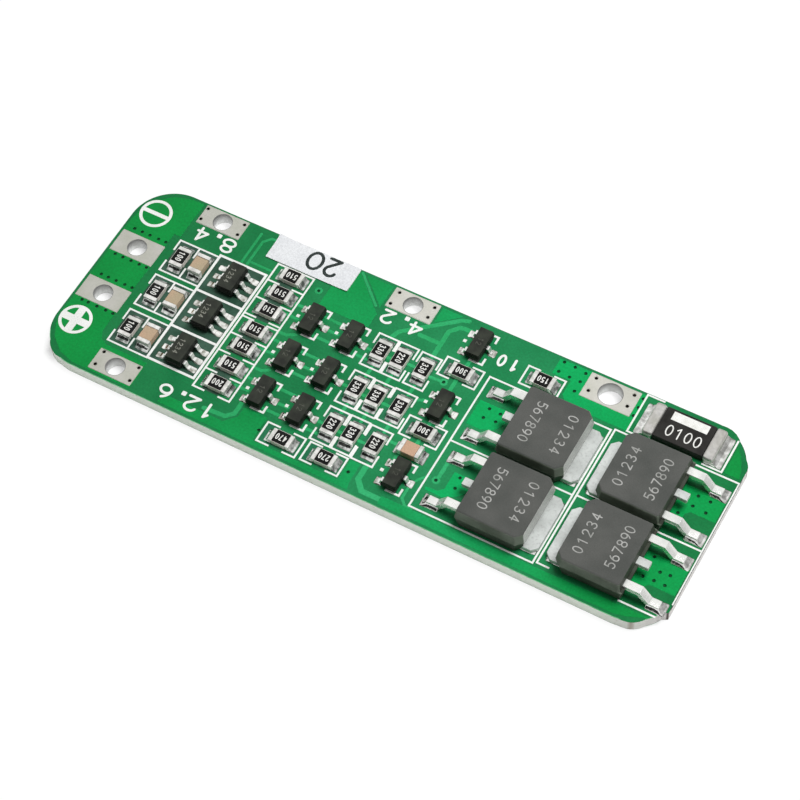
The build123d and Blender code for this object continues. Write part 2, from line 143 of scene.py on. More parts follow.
# Copper under the solder mask: the height it stands up, and the slope at its edge
COPPER_RISE = 0.018
COPPER_SLOPE = 0.03
TRACK = 0.42
THIN_TRACK = 0.24
LEVEL_LINK_WIDTH = 0.3
UPRIGHT_LINK_WIDTH = 0.34
TOP_TRACKS = (
    (TRACK, ((1.45, 4.9), (1.45, 7.8), (2.15, 8.6), (3.1, 8.7))),
    (TRACK, ((-0.6, 6.35), (1.3, 6.35))),
    (TRACK, ((-2.65, 5.0), (-2.35, 5.8), (-1.2, 6.75), (1.9, 9.3), (2.5, 9.5))),
    (0.5, ((1.8, -6.95), (1.8, -8.4), (2.6, -9.27), (4.5, -9.27))),
    (TRACK, ((-10.5, -6.6), (-10.5, -7.7), (-11.1, -8.3), (-13.1, -8.42))),
    (THIN_TRACK, ((-18.1, 5.9), (-18.1, 9.3))),
    (THIN_TRACK, ((-17.55, 5.9), (-17.55, 8.6), (-17.0, 9.25), (-16.2, 9.3))),
    (THIN_TRACK, ((-17.3, 6.25), (-15.3, 6.25))),
    (THIN_TRACK, ((-8.1, 9.75), (-5.4, 7.25))),
    (0.36, ((7.58, -3.3), (7.55, -5.4))),
    (THIN_TRACK, ((6.75, -5.5), (6.1, -6.3), (5.85, -7.0), (5.85, -8.3), (6.4, -8.85), (7.0, -8.9))),
    (0.3, ((2.2, -4.05), (3.3, -4.05))),
    (0.36, ((3.55, -4.6), (3.55, -5.6))),
    (0.36, ((4.35, 2.2), (4.35, 4.0))),
    (0.3, ((2.1, 3.02), (3.3, 3.1))),
    (0.3, ((2.3, 0.5), (3.1, 0.85))),
    (0.3, ((-10.0, 1.5), (-10.7, 1.1), (-11.8, 1.1))),
    (0.3, ((-10.1, -2.6), (-10.7, -3.0), (-11.6, -3.0))),
)
LEVEL_LINKS = (
    (-8.6, -6.6, (4.2, 2.1, 0.2, -1.95, -3.85, -6.15)),
    (-8.2, -6.8, (3.15, -1.0, -5.15)),
    (-11.9, -10.7, (4.25, 2.95, 0.2, -1.1, -4.1, -5.25)),
    (-4.6, -3.4, (3.1, 2.1, -1.0, -5.1, -6.2)),
    (-2.0, -1.3, (3.1, -1.15, -5.2)),
    (0.0, 0.8, (3.3, -1.1, -5.2)),
)
UPRIGHT_LINKS = (
    (-2.6, ((0.6, 1.6), (-3.5, -2.6))),
    (-0.72, ((0.6, 1.6), (-3.5, -2.6))),
    (1.5, ((0.6, 1.6), (-3.5, -2.6))),
    (4.45, ((-3.6, -2.6), (-1.2, -0.6), (5.2, 6.0))),
)
EDGE_POURS = (
    ((-24.95, 0.92), (-24.95, 5.75), (-24.3, 5.75), (-24.3, 9.72), (-25.5, 9.72), (-27.0, 9.3),
     (-28.3, 8.25), (-29.05, 6.9), (-29.25, 5.5), (-29.25, 0.92)),
    ((-29.25, 0.92), (-29.25, -5.5), (-29.0, -7.0), (-28.3, -8.25), (-27.0, -9.3), (-25.5, -9.72),
     (-19.75, -9.72), (-19.75, -6.85), (-23.9, -6.85), (-24.6, -6.5), (-24.95, -5.8), (-24.95, 0.92)),
    ((-16.9, -9.72), (1.5, -9.72), (1.3, -9.0), (1.3, -7.1), (0.35, -7.1), (0.35, -9.25), (-7.8, -9.25),
     (-7.8, -6.8), (-10.1, -6.8), (-10.1, -7.85), (-11.0, -8.8), (-16.9, -8.8)),
    ((-9.85, 5.0), (-4.9, 5.0), (-4.9, 6.55), (-8.3, 9.72), (-9.85, 9.72)),
    ((-7.7, 9.72), (-5.0, 7.25), (-5.0, 9.72)),
    ((-0.15, 9.72), (-0.15, 7.95), (1.9, 9.72)),
    ((4.3, -9.72), (4.3, -8.9), (18.2, -8.9), (28.4, -8.75), (26.6, -9.5), (25.6, -9.72)),
    ((27.9, 5.9), (29.25, 5.9), (29.1, 6.7), (28.5, 8.0), (27.9, 8.7)),
)
INNER_POURS = (
    ((11.1, 9.75), (11.1, 8.1), (12.85, 8.1), (12.85, 6.6), (13.6, 5.85), (19.3, 5.85), (19.3, 9.75)),
    ((7.05, 0.4), (8.3, 0.4), (9.3, 0.75), (9.9, 1.4), (9.9, 3.0), (7.05, 3.0)),
    ((8.5, -4.15), (10.4, -4.15), (10.4, -5.4), (9.8, -6.1), (8.7, -6.75), (7.05, -6.75), (7.05, -6.45),
     (8.1, -6.35), (8.5, -5.95)),
    ((25.3, 3.6), (29.25, 3.6), (29.25, 1.35), (27.1, 1.35), (26.75, 1.05), (26.7, 0.45), (25.3, 0.45)),
    ((25.3, -3.35), (29.25, -3.35), (29.25, -6.1), (27.1, -6.1), (26.75, -6.4), (26.7, -6.75),
     (25.3, -6.75)),
)
# Inside the printed frames the mask is darkened with painted shade round the chips and bodies, deeper in the
# first set: left, right, bottom, top
WINDOW_RISE = 0.004
SHADED_WINDOWS = (
    (-19.98, -15.52, -6.22, 5.55),
    (-24.0, -20.18, 1.98, 5.34), (-24.0, -20.18, -2.07, 1.25), (-24.0, -20.18, -6.3, -2.86),
    (-14.3, -12.7, 1.35, 7.12), (-14.3, -12.7, -2.6, 1.05), (-14.3, -12.7, -6.87, -2.95),
)
DIM_SHADED_WINDOWS = (
    (-3.6, -1.9, 1.58, 4.85), (-1.53, 0.02, 1.58, 4.88), (0.57, 2.24, 1.58, 4.85),
    (-3.6, -1.9, -2.63, 0.62), (-1.55, 0.0, -2.63, 0.56), (0.37, 2.2, -2.56, 0.64),
    (-3.62, -1.95, -6.76, -3.43), (-1.58, -0.02, -6.76, -3.4), (0.35, 2.16, -6.82, -3.45),
    (2.7, 6.0, 3.7, 5.42), (2.7, 5.98, -2.92, -1.15), (-7.45, -4.0, -9.0, -7.2), (-3.32, 0.02, -8.9, -7.22),
)
UNDER_POURS = (
    ((-29.2, 0.5), (-29.2, 6.0), (-28.2, 8.3), (-25.6, 9.7), (-19.2, 9.7), (-19.2, 6.6), (-12.0, 6.6),
     (-12.0, 0.5)),
    ((-29.2, 0.1), (-29.2, -6.0), (-28.2, -8.3), (-25.6, -9.7), (-17.0, -9.7), (-12.0, -5.0), (-12.0, 0.1)),
    ((-11.5, 9.7), (-11.5, 1.0), (2.0, 1.0), (6.0, 5.0), (6.0, 9.7)),
    ((6.5, 9.7), (6.5, -1.4), (19.5, -1.4), (19.5, 9.7)),
    ((20.0, 9.7), (20.0, -9.7), (25.6, -9.7), (28.2, -8.3), (29.2, -6.0), (29.2, 6.0), (28.2, 8.3),
     (25.6, 9.7)),
    ((-16.2, -9.7), (19.5, -9.7), (19.5, -1.8), (6.5, -1.8), (1.5, 0.5), (-11.5, 0.5), (-11.5, -5.0)),
)

# Printed figures on the board, turned half round: left, bottom, right and top edge of each, as it stands
PRINT_HEIGHT = 0.03
PRINT_STROKE = 0.23
PRINT_RIM = 0.008
# The printed line at the board's right edge is finer: where it begins, and how much its inner side moves
EDGE_LINE = (29.2, 29.4)
EDGE_LINE_SHIFT = 0.055
# Where a power body stands on its printed frame and hides it: left, right, bottom and top
HIDDEN_PRINT = (19.4, 25.45, -8.8, -8.2)
BOARD_FIGURES = (
    ("8", -20.72, 6.02, -19.38, 7.6), ("4", -23.35, 6.02, -22.15, 7.6),
    ("1", -13.05, -9.35, -12.25, -7.78), ("2", -14.85, -9.35, -13.55, -7.78),
    ("6", -17.5, -9.35, -16.25, -7.78),
    ("4", -1.85, 5.95, -0.6, 7.42), ("2", -4.5, 5.95, -3.3, 7.42),
    ("1", 7.65, 6.62, 8.3, 7.9), ("0", 6.45, 6.62, 7.2, 7.9),
)
DOT = 0.42
DOT_CORNER = 0.08
BOARD_DOTS = ((-21.25, 7.38), (-15.3, -7.98), (-2.3, 7.3))

# Paper label
LABEL_THICKNESS = 0.09
LABEL_WAVE = 0.012
LABEL_WAVE_PACE = (0.7, 0.9)
LABEL_CURL = 0.16
SMALLER_CURL = 0.45
LABEL_CURL_REACH = 1.2
LABEL_STEPS = (34, 12)
LABEL_FIGURES = (("2", -11.35, 7.85, -9.98, 9.9), ("0", -13.15, 7.85, -11.55, 9.9))
LABEL_STROKE = 0.29
INK_THICKNESS = 0.012

# Moulded bodies: how far they lean in, the ridge at the parting line, and the rounding of their edges
POWER_DRAFT = math.radians(9)
POWER_WAIST = 1.3
POWER_CORNER = 0.55
POWER_BACK_CORNER = 0.13
SMALL_DRAFT = math.radians(8)
SMALL_CORNER = 0.06
SMALL_WAIST_RISE = 0.02
FLASH = 0.02
FLASH_HEIGHT = 0.035
POWER_ROUNDING = 0.05
# The power body's long shoulders: depth below the top, and how far they curve in
SHOULDER = ((0.24, 0.0), (0.14, 0.015), (0.07, 0.045), (0.025, 0.1), (0.0, 0.18))
SMALL_ROUNDING = 0.06
MARK_THICKNESS = 0.008
TOP_MARGIN = 0.01
LEAD_SIDE_TRIM = 0.22
# A body's finishes after its top's: a painted sheen, a painted tone for its walls and painted shade low
# down; the walls at its +X end and at its lead end, and its first upper level
PAINTED_SHEEN_END, PAINTED_WALL_TONE, PAINTED_SHADE_LOW = 1, 2, 3
FRONT_SIDE = 1
LEAD_SIDE = 5
UPPER_LEVEL = 4
# Figures on the parts: width, height, pitch and stroke
SMALL_FIGURE = (0.3, 0.5, 0.42, 0.07)
CHIP_FIGURE = (0.27, 0.6, 0.35, 0.085)
SHUNT_FIGURE = (0.62, 1.12, 0.84, 0.11)
# The power bodies' rows: text, middle line and start from the body's middle, and figures
POWER_ROWS = (("01234", 1.6, 2.05, (0.55, 0.92, 0.84, 0.1)),
              ("567890", -1.25, 2.08, (0.55, 0.92, 0.71, 0.1)))
# Small packages: how many, their figures, how far back those begin, and the figures' finish
SMALL_PACKAGES = {"protector": (3, "1234", 0.42, "faint_mark"), "transistor": (9, "12", 0.25, "dim_mark")}

# Chips
CHIP_ROUNDING = 0.05
FILM_INSET = 0.025
FILM_THICKNESS = 0.02
FILM_RIM = 0.012
FILM_CORNER = 0.06
CORE_MARGIN = 0.012
CERAMIC_MARGIN = 0.03
CHIP_NUMBERS = {
    "cell_resistor": ("100",),
    "ladder_resistor": ("200", "510", "510", "510", "510", "510", "510"),
    "grid_resistor": ("220", "330", "330", "330", "330", "220", "220", "330", "330"),
    "single_resistor": ("470", "270", "300", "300", "150"),
}
SHUNT_ROUNDING = 0.26
SHUNT_BAR = (-1.52, 1.72, 0.48, 1.32)
SHUNT_NUMBER = "0100"
SHUNT_NUMBER_START = (-1.46, -1.1)

# Solder joints: the rounded edge, and how high the solder climbs its metal and how far that climb reaches
SOLDER_STEPS = 13
SOLDER_EDGE = 0.11
SOLDER_CORNER = 0.16
SOLDER_SKIN = 0.05
SOLDER_LUMP = 0.035
LUMP_SCALE = 2.3
CHIP_CLIMB = (0.34, 0.42)
LEAD_CLIMB = (0.13, 0.3)
POWER_CLIMB = (0.36, 0.5)
TAB_CLIMB = (0.03, 0.3)
FOOT_MARGIN = 0.01

# Where painted light brightens the mask and the terminals' tin towards the middle of the board, in X
LIT_MIDDLE_CLIMB = (-26.0, 3.0)
LIT_MIDDLE_FALL = (12.0, 29.0)
# Where the shaded rim turns darker and painted shade greys the laminate, towards the right edge
DARK_RIM = (28.0, 29.2)
LAMINATE_SHADE = (24.0, 29.2)
# Where painted shade darkens the right pair's tabs towards their bodies, and where that ends, in X
TAB_SHADE = ((19.35, 20.3), (21.5, 22.5))

# Light: the world's plain level, and each lamp's place, width and power
WORLD_LEVEL = 0.22
FLOOR_HALF = 1500.0
FLOOR_DEPTH = 0.02
FLOOR_COLOUR = (0.9, 0.9, 0.9, 1.0)
FLOOR_GLOW = 1.03
# The glow's share of the floor's look: under the board, and in the open
FLOOR_SHARES = (0.45, 0.86)
LAMPS = (("top_lamp", (100, 65, 320), 150, 1.19), ("right_lamp", (330, 40, 150), 320, 0.08))
# Cards that only metal mirrors, to draw its lines: name, corners and level
CARDS = (
    ("front_card", ((-420, -300, 10), (260, -300, 10), (260, -300, 260), (-420, -300, 260)), 0.04),
    ("right_card", ((300, -60, 0), (300, 420, 0), (300, 420, 330), (300, -60, 330)), 0.55),
    ("back_card", ((260, 420, 0), (-500, 420, 0), (-500, 420, 230), (260, 420, 230)), 0.5),
)

# Bent metal
POWER_METAL_ROUNDING = 0.05
SMALL_METAL_ROUNDING = 0.025

random.seed(SEED)


def paint(red, green, blue):
    """A linear colour from the 0 to 255 values that the eye sees."""
    levels = [c / 255 for c in (red, green, blue)]
    return (*(c / 12.92 if c <= 0.04045 else ((c + 0.055) / 1.055) ** 2.4 for c in levels), 1.0)


def placed(name, data):
    """A new object in the scene."""
    made = bpy.data.objects.new(name, data)
    bpy.context.scene.collection.objects.link(made)
    return made


class Shape:
    """The corners and faces of one piece, in millimetres, before its mesh is made."""

    def __init__(self):
        self.points = []
        self.faces = []
        self.finishes = []

    def add(self, points, faces, finish=0):
        start = len(self.points)
        self.points.extend(points)
        self.faces.extend([start + k for k in face] for face in faces)
        self.finishes.extend([finish] * len(faces))


def make_piece(name, shape, finishes, replaced=None, smooth_angle=40):
    """Turns a shape into an object that rides on the board."""
    mesh = bpy.data.meshes.new(name)
    mesh.from_pydata([Vector(p) * MM for p in shape.points], [], shape.faces)
    for finish in finishes:
        mesh.materials.append(MATERIALS[finish])
    mesh.polygons.foreach_set("material_index", shape.finishes)
    mesh.update()
    mesh.shade_smooth()
    mesh.set_sharp_from_angle(angle=math.radians(smooth_angle))
    piece = placed(name, mesh)
    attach(piece, "root")
    if replaced:
        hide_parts(replaced)
    return piece


def dress(node, shape, finishes, smooth_angle=40):
    """Turns a shape into the piece that stands for a CAD node."""
    return make_piece("dressed_" + node, shape, finishes, node, smooth_angle)


def soften(piece, width, segments=2, angle=28):
    """Rounds a piece's sharp edges."""
    bevel = piece.modifiers.new("rounded_edges", "BEVEL")
    bevel.width = width * MM
    bevel.segments = segments
    bevel.limit_method = "ANGLE"
    bevel.angle_limit = math.radians(angle)
    weighted = piece.modifiers.new("even_shading", "WEIGHTED_NORMAL")
    weighted.keep_sharp = False


# Flat outlines: limits that keep the points of sharp corners from running far away

LEAST_LEAN = 0.6
LEAST_TURN = 0.3
LEAST_SHARE = 0.5


def arc(x, y, across, up, start, end, steps):
    """Points along an ellipse, from one angle to another, both ends included."""
    angles = [math.radians(start + (end - start) * k / steps) for k in range(steps + 1)]
    return [(x + across * math.cos(a), y + up * math.sin(a)) for a in angles]


def circle(x, y, radius, sides):
    return arc(x, y, radius, radius, 0, 360, sides)[:-1]


def box_outline(left, right, bottom, top):
    return [(left, bottom), (right, bottom), (right, top), (left, top)]


def rounded_outline(x, y, length, width, radius):
    """A rectangle round a middle, with round corners, anticlockwise from its lower right corner."""
    half_x = length / 2 - radius
    half_y = width / 2 - radius
    centres = box_outline(x - half_x, x + half_x, y - half_y, y + half_y)
    return [p for k in range(4) for p in arc(*centres[(k + 1) % 4], radius, radius, 90 * k - 90, 90 * k, 4)]


def stroke(points, width, cap=5):
    """The outline of a line with round ends that bends gently along its points."""
    line = [Vector(p) for p in points]
    half = width / 2
    sides = []
    for k, point in enumerate(line):
        before = (point - line[k - 1]).normalized() if k else None
        after = (line[k + 1] - point).normalized() if k + 1 < len(line) else None
        along = ((before or after) + (after or before)).normalized()
        normal = Vector((-along.y, along.x))
        lean = max(LEAST_LEAN, along.dot(after or before))
        sides.append((point + normal * half / lean, point - normal * half / lean))
    first = math.atan2(line[1].y - line[0].y, line[1].x - line[0].x)
    last = math.atan2(line[-1].y - line[-2].y, line[-1].x - line[-2].x)
    turns = [math.pi * k / cap for k in range(1, cap)]
    front = [line[-1] + half * Vector((math.sin(last + a), -math.cos(last + a))) for a in turns]
    back = [line[0] + half * Vector((-math.sin(first + a), math.cos(first + a))) for a in turns]
    return [right for left, right in sides] + front + [left for left, right in reversed(sides)] + back


def anticlockwise(outline):
    doubled = sum(a[0] * b[1] - b[0] * a[1] for a, b in zip(outline, outline[1:] + outline[:1]))
    return outline if doubled > 0 else outline[::-1]


def sorted_region(shapes, holes=()):
    """Points and triangles that cover every shape and leave out every hole, and each triangle's shapes."""
    points = []
    loops = []
    for outline in [*shapes, *holes]:
        loops.append(list(range(len(points), len(points) + len(outline))))
        points.extend(Vector((p[0], p[1])) for p in anticlockwise([tuple(p) for p in outline]))
    spots, _, faces, _, _, sources = geometry.delaunay_2d_cdt(points, [], loops, 1, 1e-5)
    cut = set(range(len(shapes), len(loops)))
    kept = [(tuple(face), source) for face, source in zip(faces, sources)
            if source and not cut.intersection(source)]
    used = sorted({k for face, _ in kept for k in face})
    order = {k: n for n, k in enumerate(used)}
    triangles = [tuple(order[k] for k in face) for face, _ in kept]
    return [(spots[k].x, spots[k].y) for k in used], triangles, [source for _, source in kept]


def region(shapes, holes=()):
    """Points and triangles that cover every shape and leave out every hole."""
    return sorted_region(shapes, holes)[:2]


def border(triangles):
    """The directed edges round a region, with the region on their left."""
    edges = {(face[k - 1], face[k]) for face in triangles for k in range(3)}
    return [edge for edge in edges if (edge[1], edge[0]) not in edges]


def drawn_in(points, edges, amount, held=None):
    """The region's points, with those on its border moved inwards, unless they are held."""
    normals = {}
    for a, b in sorted(edges):
        along = Vector((points[b][0] - points[a][0], points[b][1] - points[a][1])).normalized()
        for k in (a, b):
            normals.setdefault(k, []).append(Vector((-along.y, along.x)))
    moved = list(points)
    for k, sides in normals.items():
        total = sum(sides, Vector((0, 0)))
        if total.length > LEAST_TURN and not (held and held(*points[k])):
            step = total.normalized() * amount / max(LEAST_SHARE, total.length / len(sides))
            moved[k] = (points[k][0] + step.x, points[k][1] + step.y)
    return moved


def plate(shape, flat, low, high, rim=0.0, finish=0, raised_low=False, held=None):
    """A closed plate between two heights. Its upper edge, or its lower one, is drawn in by the rim."""
    points, triangles = flat
    edges = sorted(border(triangles))
    inner = drawn_in(points, edges, rim, held) if rim else points
    top, bottom = (points, inner) if raised_low else (inner, points)
    count = len(points)
    corners = [(x, y, high) for x, y in top] + [(x, y, low) for x, y in bottom]
    caps = [list(face) for face in triangles] + [[k + count for k in reversed(face)] for face in triangles]
    shape.add(corners, caps, finish)
    walls = [[a + count, b + count, b, a] for a, b in edges]
    start = len(shape.points) - 2 * count
    shape.faces.extend([start + k for k in wall] for wall in walls)
    shape.finishes.extend([finish] * len(walls))


def loft(shape, rings, closed=False, finish=0):
    """Walls between rings, from low to high, with a cap at each end unless the rings close on themselves."""
    first = len(shape.faces)
    count = len(rings[0])
    faces = []
    for n in range(len(rings) if closed else len(rings) - 1):
        low = n * count
        high = (n + 1) % len(rings) * count
        faces += [[low + k, low + (k + 1) % count, high + (k + 1) % count, high + k] for k in range(count)]
    if not closed:
        faces += [[*reversed(range(count))], [(len(rings) - 1) * count + k for k in range(count)]]
    shape.add([p for ring in rings for p in ring], faces, finish)
    return first


def grid(across, up):
    """The cells of a grid of points, and the ring of points round it."""
    row = across + 1
    last = row * (up + 1) - 1
    cells = [[j * row + i, j * row + i + 1, (j + 1) * row + i + 1, (j + 1) * row + i]
             for j in range(up) for i in range(across)]
    ring = [*range(across), *range(across, last, row), *range(last, last - across, -1),
            *range(last - across, 0, -row)]
    return cells, ring


# Figures, drawn as strokes and rings in a cell 0.6 wide and 1 high

FIGURE_WIDTH = 0.6
FIGURE_SIDES = 24
FIGURE_RINGS = {
    "0": ((0.3, 0.5, 0.3, 0.5),),
    "6": ((0.3, 0.3, 0.3, 0.3),),
    "8": ((0.3, 0.76, 0.26, 0.24), (0.3, 0.26, 0.3, 0.26)),
    "9": ((0.3, 0.7, 0.3, 0.3),),
}
FIGURE_STROKES = {
    "1": (((0.06, 0.78), (0.34, 1.0)), ((0.34, 1.0), (0.34, 0.0))),
    "2": ((*arc(0.3, 0.71, 0.29, 0.29, 165, -35, 12), (0.02, 0.0)), ((0.02, 0.0), (0.6, 0.0))),
    "3": (arc(0.27, 0.76, 0.27, 0.24, 150, -90, 12), arc(0.27, 0.26, 0.32, 0.26, 90, -150, 12)),
    "4": (((0.44, 0.0), (0.44, 1.0)), ((0.44, 1.0), (0.0, 0.3)), ((0.0, 0.3), (0.62, 0.3))),
    "5": (((0.55, 1.0), (0.08, 1.0)), ((0.08, 1.0), (0.04, 0.56)),
          arc(0.27, 0.32, 0.32, 0.32, 130, -140, 12)),
    "6": (arc(0.6, 0.32, 0.6, 0.68, 180, 118, 6),),
    "7": (((0.0, 1.0), (0.6, 1.0)), ((0.6, 1.0), (0.2, 0.0))),
    "9": (arc(0.0, 0.68, 0.6, 0.68, 0, -62, 6),),
}


def figure(character, width, height, line):
    """One figure's flat region, from a corner at zero."""
    across = (width - line) / FIGURE_WIDTH
    up = height - line
    half = line / 2
    shapes = [stroke([(half + x * across, half + y * up) for x, y in points], line)
              for points in FIGURE_STROKES.get(character, ())]
    holes = []
    for x, y, wide, tall in FIGURE_RINGS.get(character, ()):
        for grow, outlines in ((half, shapes), (-half, holes)):
            outlines.append(arc(half + x * across, half + y * up, wide * across + grow, tall * up + grow,
                                0, 360, FIGURE_SIDES)[:-1])
    return region(shapes, holes)


def turned(flat, origin, along):
    """A flat region moved to an origin, with its own X axis along a direction."""
    direction = Vector(along)
    points = [(origin[0] + x * direction.x - y * direction.y, origin[1] + x * direction.y + y * direction.x)
              for x, y in flat[0]]
    return points, flat[1]


def number(shape, text, origin, along, style, low, finish=0):
    """A row of figures that starts at an origin and runs along a direction."""
    width, height, pitch, line = style
    for k, character in enumerate(text):
        start = Vector(origin) + Vector(along) * pitch * k
        flat = turned(figure(character, width, height, line), start, along)
        plate(shape, flat, low, low + MARK_THICKNESS, finish=finish)


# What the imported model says

class Solid:
    """One loose solid of a CAD node: its corners in millimetres and its box."""

    def __init__(self, points):
        self.points = points
        self.low = Vector([min(p[k] for p in points) for k in range(3)])
        self.high = Vector([max(p[k] for p in points) for k in range(3)])
        self.middle = (self.low + self.high) / 2


def solids(node):
    """The loose solids of a CAD node, in a fixed order."""
    mesh = frame["nodes"][node].data
    keys = [tuple(round(c * 1e7) for c in vertex.co) for vertex in mesh.vertices]
    owner = {key: key for key in keys}

    def root(key):
        while owner[key] != key:
            key = owner[key]
        return key

    for polygon in mesh.polygons:
        first, *others = sorted({root(keys[k]) for k in polygon.vertices})
        for other in others:
            owner[other] = first
    groups = {}
    for vertex, key in zip(mesh.vertices, keys):
        groups.setdefault(root(key), []).append(tuple(c / MM for c in vertex.co))
    found = [Solid(points) for points in groups.values()]
    return sorted(found, key=lambda s: (round(s.middle.x, 2), round(s.middle.y, 2)))


def cleaned(node, angle=1.0):
    """A CAD node's own shape, with its flat faces whole again."""
    work = bmesh.new()
    work.from_mesh(frame["nodes"][node].data)
    bmesh.ops.remove_doubles(work, verts=work.verts, dist=1e-7)
    bmesh.ops.dissolve_limit(work, angle_limit=math.radians(angle), verts=work.verts, edges=work.edges)
    work.verts.index_update()
    shape = Shape()
    shape.add([v.co / MM for v in work.verts], [[v.index for v in f.verts] for f in work.faces])
    work.free()
    return shape


# Materials

def connect(tree, node, inputs):
    """Sets a node's inputs to values, or links them to the outputs of other nodes."""
    for key, value in inputs.items():
        if isinstance(value, bpy.types.NodeSocket):
            tree.links.new(value, node.inputs[key])
        else:
            node.inputs[key].default_value = value


def add_node(tree, kind, inputs, output=0, **settings):
    """Adds a node, sets it up and gives one of its outputs."""
    node = tree.nodes.new("ShaderNode" + kind)
    for name, value in settings.items():
        setattr(node, name, value)
    connect(tree, node, inputs)
    return node.outputs[output]


def calculate(tree, operation, *values):
    return add_node(tree, "Math", dict(enumerate(values)), operation=operation)


def spread(tree, factor, low, high, low_value=0.0, high_value=1.0):
    """A factor's stretch between two values, spread over two others."""
    return add_node(tree, "MapRange", {"Value": factor, "From Min": low, "From Max": high,
                                       "To Min": low_value, "To Max": high_value})


def axis(tree, place, name):
    return add_node(tree, "SeparateXYZ", {0: place}, name)


class Finish:
    """Builds one procedural material, with its patterns measured in millimetres."""

    def __init__(self, name):
        MATERIALS[name] = bpy.data.materials.new(name)
        MATERIALS[name].use_nodes = True
        self.tree = MATERIALS[name].node_tree
        where = add_node(self.tree, "TexCoord", {}, "Object")
        self.place = add_node(self.tree, "VectorMath", {0: where, "Scale": 1 / MM}, operation="SCALE")

    def stretched(self, x, y, z):
        return add_node(self.tree, "VectorMath", {0: self.place, 1: (x, y, z)}, operation="MULTIPLY")

    def along(self, name, low, high, low_value=0.0, high_value=1.0):
        """A factor that changes between two places on one axis."""
        return spread(self.tree, axis(self.tree, self.place, name), low, high, low_value, high_value)

    def near(self, x, y, reach):
        """From 1 at an upright line through a point to 0 at its reach."""
        away = add_node(self.tree, "VectorMath", {0: self.stretched(1, 1, 0), 1: (x, y, 0)}, "Value",
                        operation="DISTANCE")
        return spread(self.tree, away, reach * 0.3, reach, 1.0, 0.0)

    def band(self, climb, fall):
        """From 0 to 1 over one stretch of X, and back to 0 over another."""
        return calculate(self.tree, "MULTIPLY", self.along("X", *climb), self.along("X", *fall, 1.0, 0.0))

    def noise(self, scale, detail=2.0, rough=0.55, place=None):
        return add_node(self.tree, "TexNoise", {"Vector": place or self.place, "Scale": scale,
                                                "Detail": detail, "Roughness": rough})

    def grain(self, scale):
        return self.noise(scale, 4.0, 0.6)

    def patches(self, noise, low=0.35, high=0.65, share=1.0):
        """A noise made into patches, up to a share."""
        return spread(self.tree, noise, low, high, 0.0, share)

    def blend(self, factor, first, second, mode="MIX"):
        """Two colours or outputs, mixed."""
        first, second = (paint(*c) if isinstance(c, tuple) else c for c in (first, second))
        return add_node(self.tree, "Mix", {"Factor": factor, 6: first, 7: second}, 2, data_type="RGBA",
                        blend_type=mode)

    def surface(self, colour, gloss, rough, relief, bump, metal=0.0, specular=0.5):
        """Sets the shader: a colour, a gloss and a bump that follow noises, and plain values."""
        height = add_node(self.tree, "Bump", {"Height": relief, "Distance": bump * MM, "Strength": 1.0})
        connect(self.tree, self.tree.nodes["Principled BSDF"], {
            "Base Color": colour, "Roughness": spread(self.tree, gloss, 0.3, 0.7, *rough), "Normal": height,
            "Metallic": metal, "Specular IOR Level": specular})


def plain_finish(name, light, dark, broad, fine, rough, bump, specular=0.5, metal=0.0, sharp=(0.35, 0.65),
                 middle=None, speck=225):
    """Two colours in broad drifts and fine grain, with uneven gloss and a fine bump.

    A pair of colours for the middle of the board makes the whole change slowly along it: painted light,
    brighter in the middle and falling off towards both ends.
    """
    made = Finish(name)
    drift = made.patches(made.noise(broad), *sharp)
    grain = made.grain(fine)
    base = made.blend(drift, dark, light)
    if middle:
        inner = made.blend(drift, middle[1], middle[0])
        base = made.blend(made.band(LIT_MIDDLE_CLIMB, LIT_MIDDLE_FALL), base, inner)
    specks = made.blend(made.patches(grain, 0.3, 0.7), (speck, speck, speck), (255, 255, 255))
    made.surface(made.blend(1.0, base, specks, "MULTIPLY"), grain, rough, grain, bump, metal, specular)


def mask_finish(name, light, dark, broad, specular=0.14, middle=None):
    """Solder mask: glossy and even."""
    plain_finish(name, light, dark, broad, 5.0, (0.3, 0.42), 0.004, specular, middle=middle)


def edge_finish():
    """The mask's rim in shade: near black at the right edge, green round the rest of the board."""
    made = Finish("shaded_mask_edge")
    patches = made.patches(made.noise(0.8))
    green = made.blend(patches, (28, 92, 58), (44, 110, 72))
    dark = made.blend(patches, (22, 46, 32), (34, 62, 46))
    shade = made.blend(made.along("X", *DARK_RIM), green, dark)
    made.surface(shade, made.grain(7.0), (0.4, 0.6), patches, 0.01, specular=0.4)


def laminate_finish():
    """The cut edge of the board: pale woven glass in thin level layers, greyed by painted shade towards the
    right end.
    """
    made = Finish("glass_laminate")
    layers = made.noise(1.0, 4.0, 0.7, made.stretched(0.7, 0.7, 14.0))
    cuts = made.noise(3.0, 3.0, 0.6)
    front = made.blend(made.patches(layers), (232, 242, 228), (246, 253, 242))
    # The laminate in painted shade, for the right end
    side = made.blend(made.patches(layers), (206, 203, 200), (222, 219, 217))
    base = made.blend(made.along("X", *LAMINATE_SHADE), front, side)
    stained = made.blend(made.patches(cuts, 0.6, 0.78, 0.5), base, (196, 182, 158))
    for x, y, reach, shade in STAINS:
        stained = made.blend(made.near(x, y, reach), stained, shade)
    made.surface(stained, cuts, (0.55, 0.85), layers, 0.03, specular=0.3)


def barrel_finish():
    """The tinned wall of a wire hole: painted shade near the lip, giving way to painted light lower down."""
    made = Finish("tinned_barrel_painted_shading")
    drift = made.noise(1.3, 3.0)
    # Painted shade near the lip, painted light towards the bottom
    base = made.blend(made.along("Z", 0.2, BOARD_TOP, 1.0, 0.0), (126, 126, 124), (226, 228, 226))
    tinned = made.blend(made.patches(drift, 0.4, 0.7, 0.6), base, (168, 168, 165))
    made.surface(tinned, drift, (0.3, 0.46), drift, 0.02, metal=0.7)


